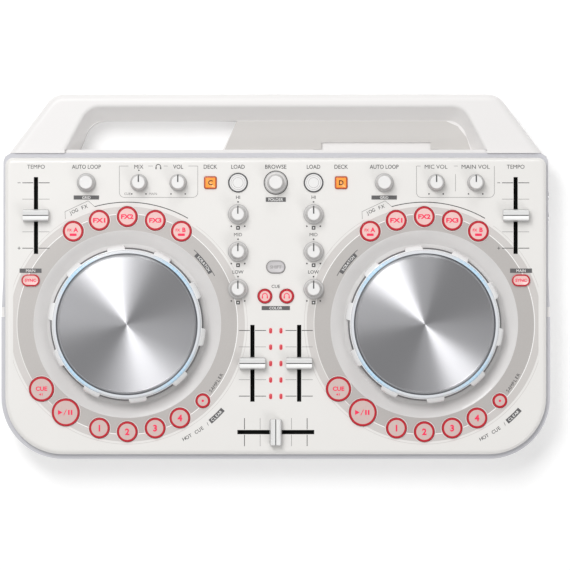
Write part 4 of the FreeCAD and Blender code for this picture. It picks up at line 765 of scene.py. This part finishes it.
def deck_words(mesh, side):
    """The arc with its tab at the rear, the dark bent tags, and the words along the ring."""
    arc_band(mesh, side, 88.5, 89.1, -15.5, 29.8, 1)
    tab = [on_deck(side, r, a) for r, a in ((88.8, -30.5), (93.6, -29.0), (94.2, -17.6), (88.8, -15.5))]
    polyline(mesh, tab, 0.3, 0)
    words_on_arc(mesh, side, "JOG FX", 90.9, -23.3, 2.4, 1)
    sign = 1 if side == "left" else -1
    start, end = (44.5, 58.5) if side == "left" else (-58.5, -44.5)
    arc_band(mesh, side, 69.4, 72.9, start, end, 3, lift=WORD_INK)
    for edge in (start, end):
        out = -2.6 if edge == start else 2.6
        arc_band(mesh, side, 72.4, 72.9, min(edge, edge + out), max(edge, edge + out), 3, lift=WORD_INK)
    words_on_arc(mesh, side, "SCRATCH", 71.15, sign * 51.5, 1.9, 2, lift=TAG_INK)
    words_on_arc(mesh, side, "SAMPLER", 77.7, 180 - 56.5, 2.3, 1, inward=True)
    words_on_arc(mesh, side, "HOT CUE /", 93.2, 180 - 32.6, 2.5, 1, inward=True)
    arc_band(mesh, side, 91.4, 95.0, 180 - 48.3, 180 - 40.3, 3, lift=WORD_INK)
    words_on_arc(mesh, side, "CLEAR", 93.2, 180 - 44.3, 2.0, 2, inward=True, lift=TAG_INK)


# ---------------------------------------------------------------- controls


def key_profile(radius, ring):
    """A round key from its flange up: the rim with a step down to its face."""
    low, high = -2.4, 1.6
    return [
        (0, low),
        (radius, low),
        (radius, high - 0.55),
        (radius - 0.12, high - 0.2),
        (radius - 0.4, high),
        (radius - ring + 0.12, high),
        (radius - ring, high - 0.1),
        (0, high - 0.1),
    ]


def add_stem(mesh, x, y):
    """The stem under a key, down to its switch."""
    stem = [(0, -6.8), (1.6, -6.8), (1.6, -3.5), (0, -3.5)]
    lathe(mesh, rounded(stem, 0.2), (x, y, TOP), 32)


def make_round_key(node, materials, mark=None, ring=1.5):
    """A lit round key: rim, face and the sign on it, with the flange and stem below."""
    mesh = bmesh.new()
    centre = middle(node)
    radius = round_key_radius(node)
    place = (centre.x, centre.y, TOP)

    def paint(r, z, angle):
        return 1 if r < radius - ring and z > 0 else 0

    lathe(mesh, key_profile(radius, ring), place, 80, paint)
    flange = [(0, -3.6), (radius + 0.9, -3.6), (radius + 0.9, -2.6), (0, -2.6)]
    lathe(mesh, rounded(flange, 0.15), place, 64)
    add_stem(mesh, centre.x, centre.y)
    if mark:
        mark(mesh, centre.x, centre.y, TOP + 1.5)
    finish_piece(f"{node}_cap", mesh, materials, node, (node,))


def word_mark(text, height, width=None):
    def mark(mesh, x, y, z):
        write(mesh, text, x, y, height, 0, 2, z, width, bold=0.04)

    return mark


def play_mark(mesh, x, y, z):
    """A play triangle, a stroke and two pause bars."""
    triangle = [(x - 5.6, y - 1.8), (x - 2.2, y), (x - 5.6, y + 1.8)]
    prism(mesh, triangle, z - 0.03, z + WORD_INK, 2)
    strip(mesh, x - 1.5, y - 2.1, x + 0.6, y + 2.1, 0.5, 2, z)
    for dx in (2.3, 4.3):
        strip(mesh, x + dx, y - 1.8, x + dx, y + 1.8, 1.15, 2, z)


def cue_mark(mesh, x, y, z):
    write(mesh, "CUE", x, y + 0.3, 2.9, 0, 2, z, 8.4, bold=0.035)
    triangle = [(x - 0.3, y - 4.8), (x - 1.9, y - 3.9), (x - 0.3, y - 3.0)]
    prism(mesh, triangle, z - 0.03, z + WORD_INK, 2)
    strip(mesh, x + 0.6, y - 4.8, x + 0.6, y - 3.0, 0.5, 2, z)


def assign_mark(letter):
    def mark(mesh, x, y, z):
        write(mesh, "FX", x - 2.5, y + 0.8, 1.9, 0, 2, z, bold=0.03)
        write(mesh, letter, x + 1.9, y + 1.0, 3.1, 0, 2, z, bold=0.04)
        prism(mesh, rounded_box(x, y - 2.6, 2.5, 0.9, 0.4, 3), z - 0.03, z + WORD_INK, 2)

    return mark


def dot_mark(mesh, x, y, z):
    dot(mesh, x, y, 0.9, 2, z)


def phones_mark(mesh, x, y, z):
    headphones(mesh, x, y + 0.2, 3.6, 2, z)


def load_mark(mesh, x, y, z):
    """Two fine rings pressed into the face of a load key."""
    for r in (3.6, 5.0):
        raised = [(r, -0.05), (r, 0.06), (r + 0.22, 0.06), (r + 0.22, -0.05)]
        lathe(mesh, raised, (x, y, z), 64, lambda *_: 2)


def make_keys():
    red = [RED_RING, RED_FACE, RED_MARK]
    marks = {"effect_a": assign_mark("A"), "effect_b": assign_mark("B"), "cue": cue_mark, "play": play_mark}
    marks |= {f"effect_{n}": word_mark(f"FX{n}", 3.1, 9.0) for n in (1, 2, 3)}
    marks |= {f"hot_cue_{n}": word_mark(str(n), 4.4) for n in (1, 2, 3, 4)}
    marks |= {"sampler": dot_mark, "channel_cue": phones_mark}
    clear = [RED_RING, CLEAR_FACE, RED_MARK]
    for side in SIDES:
        for name, mark in marks.items():
            on_ring = name in ("cue", "play", "sampler") or name.startswith("hot_cue")
            make_round_key(f"{name}_key_{side}", clear if on_ring else red, mark)
        load = [LOAD_RING, LOAD_FACE, GREY_MARK]
        make_round_key(f"load_key_{side}", load, load_mark, 0.75)
        letter = "C" if side == "left" else "D"
        orange = [ORANGE_RING, ORANGE_FACE, ORANGE_MARK]
        make_flat_key(f"deck_key_{side}", orange, 0.9, letter, 3.4)
        make_flat_key(f"sync_key_{side}", red, 1.15, "SYNC", 2.2)
    make_flat_key("shift_key", [GREY_EDGE, GREY_KEY, GREY_MARK], 0.7, "SHIFT", 2.1)


def make_flat_key(node, materials, ring, text, height):
    """An oval or square key with its word, its flange and its stem."""
    mesh = bmesh.new()
    low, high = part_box(node)
    centre = middle(node)
    half_x, half_y = (high.x - low.x) / MM / 2 - 0.9, (high.y - low.y) / MM / 2 - 0.9
    corner = 1.2 if abs(half_x - half_y) < 0.1 else half_y - 0.05
    cushion_key(mesh, centre.x, centre.y, half_x, half_y, corner, ring)
    flange = rounded_box(centre.x, centre.y, half_x + 0.9, half_y + 0.9, corner + 0.9)
    prism(mesh, flange, TOP - 3.6, TOP - 2.6)
    add_stem(mesh, centre.x, centre.y)
    width = half_x * 1.25 if len(text) > 1 else None
    write(mesh, text, centre.x, centre.y, height, 0, 2, TOP + 1.52, width, bold=0.03)
    finish_piece(f"{node}_cap", mesh, materials, node, (node,))


def knob_pointer(mesh, x, y, top, top_r, end_r, skirt_top):
    """A dark line let into the knob's top and run down its front to the skirt."""
    half = 0.45
    path = [(0.2, top), (top_r - 0.4, top), (top_r + 0.04, top - 0.3), (end_r - 0.05, skirt_top + 0.1)]
    rows = []
    for r, z in path:
        rows.append([mesh.verts.new((x + dx, y + r + 0.03, z + 0.05)) for dx in (-half, half)])
    for one, two in zip(rows, rows[1:]):
        mesh.faces.new((one[0], one[1], two[1], two[0])).material_index = 2


# radius of the neck and of the crown, by a word in the node's name
KNOB_RADII = {
    "level": (5.8, 4.6),
    "mix": (5.8, 4.6),
    "loop": (6.1, 4.7),
    "tone": (6.2, 4.5),
    "browse": (6.3, 4.8),
}


def knob_profile(skirt, neck, crown, top, skirt_top):
    return rounded(
        [
            (0, 0.8),
            (skirt - 0.5, 0.8),
            (skirt, 1.2, 0.3),
            (skirt, skirt_top - 1.1, 0.5),
            (skirt - 0.7, skirt_top - 0.5, 0.5),
            (neck + 0.25, skirt_top, 0.5),
            (neck - 0.1, skirt_top + 0.5, 0.4),
            (crown, top - 0.3, 0.45),
            (crown - 0.45, top, 0.3),
            (crown - 0.9, top - 0.02, 0.0),
            (0, top - 0.05),
        ],
        0.2,
        4,
    )


def make_knob(node, pointer=True):
    """A turned knob with a knurled neck, a pale crown and, on most, a pointer line; its neck and skirt are
    painted with shade.
    """
    mesh = bmesh.new()
    centre = middle(node)
    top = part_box(node)[1].z / MM - TOP
    skirt = (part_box(node)[1].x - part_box(node)[0].x) / MM / 2
    neck, crown = next(pair for word, pair in KNOB_RADII.items() if word in node)
    profile = knob_profile(skirt, neck, crown, top, 3.2)

    def knurled(r, height, angle):
        """Forty shallow flutes up the neck."""
        on_neck = 3.9 < height < top - 0.8 and r > crown - 0.2
        return r - (0.09 * (1 + math.cos(40 * angle)) if on_neck else 0)

    def paint(r, z, angle):
        # the crown keeps the plastic's white; the skirt's edge, the skirt and the neck are greyed as painted
        # shade
        if z > top - 0.4:
            return 1
        if r > skirt - 0.72:
            return 4
        return 3 if r > neck else 0

    place = (centre.x, centre.y, TOP)
    lathe(mesh, profile, place, 160, paint, knurled)
    shaft = [(0, -10.2), (3.0, -10.2), (3.0, 0.9), (0, 0.9)]
    lathe(mesh, rounded(shaft, 0.2), place, 48)
    if pointer:
        knob_pointer(mesh, centre.x, centre.y, TOP + top, crown, neck, TOP + 3.7)
    finish_piece(f"{node}_grip", mesh, [KNOB_SHADED, KNOB_TOP, LINE, SKIRT_SHADED, SKIRT_EDGE_SHADE], node, (node,))


def make_knobs():
    for side in SIDES:
        make_knob(f"loop_knob_{side}", pointer=False)
        for band in ("high", "mid", "low"):
            make_knob(f"{band}_tone_knob_{side}")
    for node in ("phones_mix_knob", "phones_level_knob", "microphone_level_knob", "main_level_knob"):
        make_knob(node)
    make_knob("browse_knob", pointer=False)


def fader_section():
    """The side of a fader cap, along its travel: leaning flanks and a valley with a centre groove."""
    right = [(0, 6.6), (0.32, 6.6), (0.36, 7.0), (2.3, 7.9), (2.9, 8.35)]
    right += [(3.35, 8.1), (3.7, 7.2), (4.35, 3.2), (4.5, 2.6), (4.5, 0.8)]
    left = [(-u, z) for u, z in right[1:]][::-1]
    return left + right


def make_fader(node, sideways):
    mesh = bmesh.new()
    centre = middle(node)
    section = fader_section()
    half_ends = [(9.4, 0.3), (9.3, 0.62), (9.05, 0.83), (8.6, 0.96), (8.1, 1.0)]
    ends = [(-far, shrink) for far, shrink in half_ends] + half_ends[::-1]
    rows = []
    for across, shrink in ends:
        row = []
        for along, z in section:
            height = 0.8 + (z - 0.8) * (0.93 + 0.07 * shrink if shrink < 1 else 1)
            u = along * (0.78 + 0.22 * shrink)
            place = (across, u) if not sideways else (u, across)
            row.append(mesh.verts.new((centre.x + place[0], centre.y + place[1], TOP + height)))
        rows.append(row)
    count = len(section)
    for one, two in zip(rows, rows[1:]):
        for i in range(count):
            j = (i + 1) % count
            middle_step = abs(section[i][0]) < 0.33 and abs(section[j][0]) < 0.33
            # the steep flanks and the two ends take the greyer copy, as painted shade
            flank = abs(section[i][0]) > 3.6 and abs(section[j][0]) > 3.6
            mesh.faces.new((one[i], one[j], two[j], two[i])).material_index = 1 if middle_step else 3 * flank
    mesh.faces.new(rows[0][::-1]).material_index = 3
    mesh.faces.new(rows[-1]).material_index = 3
    half = (2.0, 0.6) if sideways else (0.6, 2.0)
    prism(mesh, rounded_box(centre.x, centre.y, *half, 0.2, 2), TOP - 9.5, TOP + 1.0, 2)
    finish_piece(f"{node}_cap", mesh, [FADER, LINE, STEEL, FADER_FLANK_SHADE], node, (node,), 40)


def make_faders():
    for side in SIDES:
        make_fader(f"tempo_fader_{side}", False)
        make_fader(f"channel_fader_{side}", False)
    make_fader("crossfader", True)


def notched(r, height, angle):
    """Finger notches: the rim's radius at an angle, with short ramps at a notch's ends."""
    first, span, period, ramp, bottom = 68.0, 24.6, 36.0, 1.6, 55.6
    if r < bottom + 0.1 or height > 10.6:
        return r
    turn = (math.degrees(angle) - first) % period
    depth = max(0.0, min(1.0, min(turn, span - turn) / ramp))
    depth = depth * depth * (3 - 2 * depth)
    return r - depth * (r - bottom)


def make_jog(side):
    """Platter with notches, lit clear ring and spun metal plate."""
    body = f"jog_wheel_{side}"
    centre = DECKS[side]
    place = (centre.x, centre.y, TOP)
    rim = [(10, -3.2), (10, 8.0), (52.6, 8.0), (52.6, -3.2), (56.9, -3.2), (57.4, -2.7, 0.3)]
    rim += [(57.4, 8.0, 1.2), (56.4, 9.8, 1.2), (54.5, 11.9, 0.6), (54.1, 12.0, 0.2)]
    rim += [(51.5, 12.0), (51.4, 11.9)]

    def shade(r, height, angle):
        """The slope above each notch is in shade."""
        return 1 if 54.4 < r < 57 and height > 8.6 and notched(57.4, 0, angle) < 55.9 else 0

    mesh = bmesh.new()
    lathe(mesh, rounded(rim, 0.25, 4), place, 720, shade, notched)
    hub = [(0, -9.8), (4.0, -9.8), (4.0, -3.2), (10.2, -3.2), (10.2, 8.2), (0, 8.2)]
    lathe(mesh, rounded(hub, 0.2), place, 64)
    finish_piece(f"jog_platter_{side}", mesh, [JOG, NOTCH], body, (body,), 30)
    ring = [(51.1, 12.0), (54.0, 12.0), (53.7, 13.2, 0.6), (53.0, 14.1, 0.5)]
    ring += [(51.4, 14.2, 0.3), (51.1, 14.0), (51.1, 12.0)]
    mesh = bmesh.new()
    lathe(mesh, rounded(ring, 0.2, 4), place, 240, lambda r, z, _: 1 if r < 51.8 else 0)
    finish_piece(f"jog_ring_{side}", mesh, [RING, RING_EDGE], body)
    plate = [(0, 12.05), (50.9, 12.05), (50.9, 13.7, 0.2), (49.4, 15.05, 0.15), (49.2, 15.2, 0.05)]
    plate += [(48.9, 15.2), (48.75, 15.12), (48.6, 15.2), (0.0, 15.2)]
    mesh = bmesh.new()
    # the bevel, beyond a radius of 50.1, takes the lighter copy as a painted highlight
    lathe(mesh, rounded(plate, 0.05, 2), place, 240, lambda r, z, _: 1 if r > 50.1 else 0)
    finish_piece(f"jog_plate_{side}", mesh, [PLATE, PLATE_BEVEL_LIT], body)


def make_lights():
    """The ten level lights: small domed red lenses, each set in pale pink painted as the lamp's glow in its
    hole and on the panel round it.
    """
    mesh = bmesh.new()
    low_y, step = -39.5, -11.95
    for sign in (1, -1):
        for row in range(5):
            y = low_y + step * row
            outlines = []
            for inset, z in ((0, -0.6), (0, 0.05), (0.12, 0.2), (0.4, 0.3)):
                flat = rounded_box(sign * 3.75, y, 1.1 - inset, 2.0 - inset, 1.08 - inset)
                outlines.append([(px, py, TOP + z) for px, py in flat])
            loft(mesh, outlines, lambda k: 0)
            # painted glow: the hole round each lens and a patch of panel round it are pale pink
            prism(mesh, rounded_box(sign * 3.75, y, 1.28, 2.18, 0.05, 1), TOP - 1.2, TOP + 0.02, 1)
            prism(mesh, rounded_box(sign * 3.75, y, 1.6, 2.5, 1.55, 6), TOP - 0.03, TOP + 0.04, 1)
    finish_piece("level_light_lenses", mesh, [LIGHT, RED_GLOW_PAINT], CHASSIS)


def make_slot_liners():
    """Black felt strips just under the panel, split for the fader levers."""
    mesh = bmesh.new()
    upright = [f"{name}_fader_{side}" for name in ("tempo", "channel") for side in SIDES]
    for node in (*upright, "crossfader"):
        centre = middle(node)
        for sign in (1, -1):
            if node == "crossfader":
                outline = rounded_box(centre.x, centre.y + sign * 2.68, 28.4, 2.0, 0.2, 1)
            else:
                outline = rounded_box(centre.x + sign * 2.68, centre.y, 2.0, 28.4, 0.2, 1)
            prism(mesh, outline, TOP - 3.1, TOP - 2.55)
    finish_piece("slot_liners", mesh, [BLACK], CHASSIS)


def turned_along(mesh, profile, place, axis, paint):
    """Turns a profile of (r, distance along the axis) round an axis along X or Y."""
    made = bmesh.new()
    lathe(made, profile, (0, 0, 0), 64, paint)
    swing = Matrix.Rotation(math.pi / 2, 4, "Y") if axis == "X" else Matrix.Rotation(-math.pi / 2, 4, "X")
    bmesh.ops.transform(made, matrix=Matrix.Translation(place) @ swing, verts=made.verts)
    merge(mesh, made)


def make_side_sockets():
    """Bright collars and dark bores of the two side sockets."""
    mesh = bmesh.new()
    collar = [(4.06, 195.7), (4.06, 199.05), (3.85, 199.34), (3.3, 199.36), (3.26, 199.6)]
    collar += [(3.1, 199.74), (1.95, 199.74), (1.76, 199.6), (1.76, 186.0), (0, 186.0)]
    for y in (59.3, 44.0):
        turned_along(mesh, collar, (0, y, 20.0), "X", lambda r, d, _: 1 if r < 1.8 and d < 199.6 else 0)
    finish_piece("side_socket_collars", mesh, [CHROME, BLACK], CHASSIS)


def make_line_sockets():
    """Bright shells of the line outputs, each with a ring of white or red plastic inside."""
    for x, side, plastic in ((96.0, "left", LOAD_FACE), (112.0, "right", RED_PLASTIC)):
        mesh = bmesh.new()
        shell = [(4.19, 124.2), (4.19, 132.6), (4.0, 132.95), (3.4, 132.95), (3.26, 132.7), (3.26, 131.6)]
        shell += [(2.35, 131.6), (2.35, 132.0), (1.62, 132.0), (1.56, 131.7), (1.56, 126.0), (0, 126.0)]

        def paint(r, d, angle):
            if r < 1.6:
                return 2
            return 1 if d < 132.1 and r < 3.3 else 0

        turned_along(mesh, shell, (x, 0, 11.5), "Y", paint)
        finish_piece(f"line_socket_{side}", mesh, [CHROME, plastic, BLACK], CHASSIS)


def box_between(mesh, low, high, index=0):
    outline = [(low[0], low[1]), (high[0], low[1]), (high[0], high[1]), (low[0], high[1])]
    prism(mesh, outline, low[2], high[2], index)


def make_port():
    """The data port's folded shell and its pale tongue."""
    mesh = bmesh.new()
    x, z, half_x, half_z, wall = 58.0, 11.5, 6.04, 5.44, 0.98
    for sign in (1, -1):
        side = x + sign * (half_x - wall / 2)
        box_between(mesh, (side - wall / 2, 116, z - half_z), (side + wall / 2, 130.64, z + half_z))
        level = z + sign * (half_z - wall / 2)
        inner = half_x - wall
        box_between(mesh, (x - inner, 116, level - wall / 2), (x + inner, 130.64, level + wall / 2))
    box_between(mesh, (x - 2.84, 117, z - 1.64), (x + 2.84, 128.9, z + 1.64), 1)
    box_between(mesh, (x - 5.0, 117.9, z - 4.4), (x + 5.0, 118.1, z + 4.4), 2)
    finish_piece("data_port_shell", mesh, [CHROME, LOAD_FACE, BLACK], CHASSIS)


def make_screw_heads():
    """The case screws' heads, each with its cross recess drawn as a black cross of painted shade, as seen
    from below.
    """
    mesh = bmesh.new()
    low = 5.4
    for x, y in ((183, -62), (183, 76), (40, -101), (60, 76)):
        for sign in (1, -1):
            place = (sign * x, y, 0)
            head = [(0, low - 0.05), (1.7, low - 0.05), (2.55, low + 0.35), (2.74, low + 0.9), (2.74, 7.5)]
            lathe(mesh, head, place, 40)
            # painted shade: a flat black cross on each head stands for the shade in its recess
            for wide, long in ((0.28, 1.3), (1.3, 0.28)):
                cross = rounded_box(sign * x, y, wide, long, 0.1, 1)
                prism(mesh, cross, low - 0.09, low, 1)
    finish_piece("screw_heads", mesh, [STEEL, BLACK], CHASSIS)


def make_shelf_mat():
    """A thin light grey sheet on the shelf in the handle, cut out round the tablet slot; it makes the shelf
    greyer than the handle's top.
    """
    height = 22.5
    parts = (
        [(-37.4, 93.0), (33.4, 93.0), (33.4, 113.8), (-28.8, 113.8)],
        [(33.4, 98.6), (113.2, 98.6), (113.2, 113.8), (33.4, 113.8)],
        [(113.2, 93.0), (142.4, 93.0), (139.5, 102.0), (133.0, 110.0), (124.5, 113.8), (113.2, 113.8)],
    )
    mesh = bmesh.new()
    for outline in parts:
        prism(mesh, outline, height - 0.1, height + 0.15)
    finish_piece("shelf_grey_sheet", mesh, [SHELF], CHASSIS)


# ---------------------------------------------------------------- stage


def area_light(name, place, size, power, size_y=None):
    data = bpy.data.lights.new(name, "AREA")
    data.shape = "RECTANGLE" if size_y else "SQUARE"
    data.size = size
    if size_y:
        data.size_y = size_y
    data.energy = power
    lamp = add_object(name, data)
    lamp.location = place
    lamp.rotation_euler = (-Vector(place)).to_track_quat("-Z", "Y").to_euler()


def make_stage():
    scene = bpy.context.scene
    scene.view_settings.view_transform = "Standard"
    floor_mesh = bmesh.new()
    bmesh.ops.create_grid(floor_mesh, x_segments=8, y_segments=8, size=2000)
    data = mesh_data(floor_mesh, "floor")
    white = (1.0, 1.0, 1.0, 1.0)
    glow = {"Emission_Color": white, "Emission_Strength": 0.28}
    paper = Shader("paper", (0.8, 0.8, 0.8, 1), 0.9, Specular_IOR_Level=0.1, **glow)
    data.materials.append(paper.material)
    add_object("floor", data)
    world = bpy.data.worlds.new("studio")
    scene.world = world
    world.use_nodes = True
    light = world.node_tree.nodes["Background"].inputs
    light["Color"].default_value = white
    light["Strength"].default_value = 0.43
    area_light("key", (-0.54, 0.9, 1.98), 0.62, 23, size_y=1.1)
    area_light("second_streak", (0.3, 1.8, 1.5), 0.6, 6, size_y=0.8)
    area_light("left_fill", (-1.2, 0.12, 2.2), 0.7, 4.5, size_y=0.9)
    area_light("front_fill", (1.1, -1.3, 1.7), 0.9, 8)
    camera_data = bpy.data.cameras.new("camera")
    camera_data.lens = 300
    camera_data.sensor_width = 36
    camera_data.clip_end = 20
    camera = add_object("camera", camera_data)
    camera.location = (0.0067, -0.0062, 3.5)
    scene.camera = camera


def paint_cad():
    """Materials of the CAD nodes that stay in view."""
    painted = {
        "top_panel": PANEL,
        "bottom_case": CASE,
        "rear_handle": CASE,
        "edge_trim": TRIM,
        "handle_base": CASE,
        "board_and_screws": BOARD,
        "rubber_feet": RUBBER,
    }
    for node, made in painted.items():
        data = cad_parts[node].data
        data.materials.clear()
        data.materials.append(made.material)


make_stage()
paint_cad()
print_deck_rings()
print_words()
make_keys()
make_knobs()
make_faders()
for side in SIDES:
    make_jog(side)
make_lights()
make_slot_liners()
make_shelf_mat()
make_side_sockets()
make_line_sockets()
make_port()
make_screw_heads()
